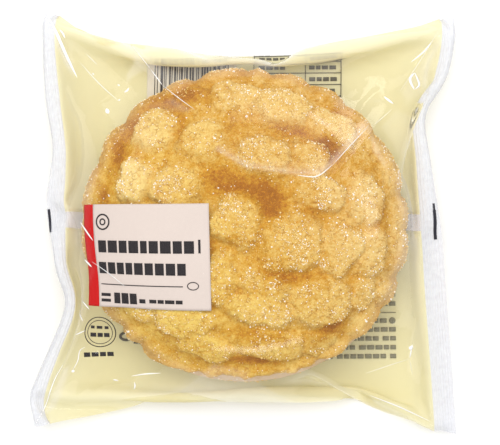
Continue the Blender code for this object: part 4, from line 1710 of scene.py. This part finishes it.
class PACK_OT_stage(bpy.types.Operator):
    """Camera straight above, plain pale floor and soft studio light"""
    bl_idname = "melon_pan.stage"
    bl_label = "Stage"

    def execute(self, context):
        studio = context.scene.pack_studio
        scene = context.scene
        camera = bpy.data.cameras.new("camera")
        camera.lens = studio.lens
        camera.clip_end = 20
        eye = bpy.data.objects.new("camera", camera)
        away = studio.frame_width * studio.lens / camera.sensor_width
        eye.location = (*CAMERA_OFFSET, scene.bun_crust.widest + away)
        scene.collection.objects.link(eye)
        scene.camera = eye
        scene.view_settings.view_transform = "Standard"

        power = studio.key_power
        area_light("key_light", KEY_PLACE, KEY_SIZE, power, glossy=False)
        for name, place, size, share in PANELS:
            area_light(name, place, size, power * share)
        world = bpy.data.worlds.new("studio_sky")
        world.use_nodes = True
        tree = world.node_tree
        mirrored = node(tree, "ShaderNodeLightPath").outputs["Is Glossy Ray"]
        dimmed = calc(tree, "MULTIPLY", mirrored, studio.sky_strength - studio.mirrored_sky)
        sky = tree.nodes["Background"]
        sky.inputs["Color"].default_value = (1.0, 1.0, 1.0, 1.0)
        tree.links.new(calc(tree, "SUBTRACT", studio.sky_strength, dimmed), sky.inputs["Strength"])
        scene.world = world

        half = FLOOR_SIZE / 2
        mesh = bpy.data.meshes.new("floor")
        corners = [(-half, -half, 0), (half, -half, 0), (half, half, 0), (-half, half, 0)]
        mesh.from_pydata(corners, [], [(0, 1, 2, 3)])
        material, tree, surface = empty_material("pale_floor")
        tree.links.new(principled(tree, (0.92, 0.92, 0.92), 0.8), surface)
        mesh.materials.append(material)
        floor = bpy.data.objects.new("floor", mesh)
        floor.location.z = -FLOOR_DROP
        scene.collection.objects.link(floor)
        return {"FINISHED"}


# ---------------------------------------------------------------- add-on

class PACK_PT_panel(bpy.types.Panel):
    """Sizes and colours of the pack, and the steps that build it"""
    bl_label = "Melon pan"
    bl_idname = "PACK_PT_panel"
    bl_space_type = "VIEW_3D"
    bl_region_type = "UI"
    bl_category = "Melon pan"

    def draw(self, context):
        for group in (context.scene.bag_film, context.scene.bun_crust, context.scene.pack_studio):
            box = self.layout.box()
            for name in group.__annotations__:
                box.prop(group, name)
        for operator in OPERATORS:
            self.layout.operator(operator.bl_idname)


OPERATORS = (PACK_OT_stage, PACK_OT_bun, PACK_OT_sugar, PACK_OT_film, PACK_OT_fin_seam, PACK_OT_creases,
             PACK_OT_front_print, PACK_OT_back_print, PACK_OT_seal_marks)
CLASSES = (BagProperties, BunProperties, StudioProperties, *OPERATORS, PACK_PT_panel)


def register():
    for kind in CLASSES:
        bpy.utils.register_class(kind)
    bpy.types.Scene.bag_film = PointerProperty(type=BagProperties)
    bpy.types.Scene.bun_crust = PointerProperty(type=BunProperties)
    bpy.types.Scene.pack_studio = PointerProperty(type=StudioProperties)


def unregister():
    del bpy.types.Scene.pack_studio
    del bpy.types.Scene.bun_crust
    del bpy.types.Scene.bag_film
    for kind in reversed(CLASSES):
        bpy.utils.unregister_class(kind)


def main():
    register()
    bpy.ops.melon_pan.stage()
    bpy.ops.melon_pan.bun()
    bpy.ops.melon_pan.sugar()
    bpy.ops.melon_pan.film()
    bpy.ops.melon_pan.fin_seam()
    bpy.ops.melon_pan.creases()
    bpy.ops.melon_pan.front_print()
    bpy.ops.melon_pan.back_print()
    bpy.ops.melon_pan.seal_marks()


if __name__ == "__main__":
    main()
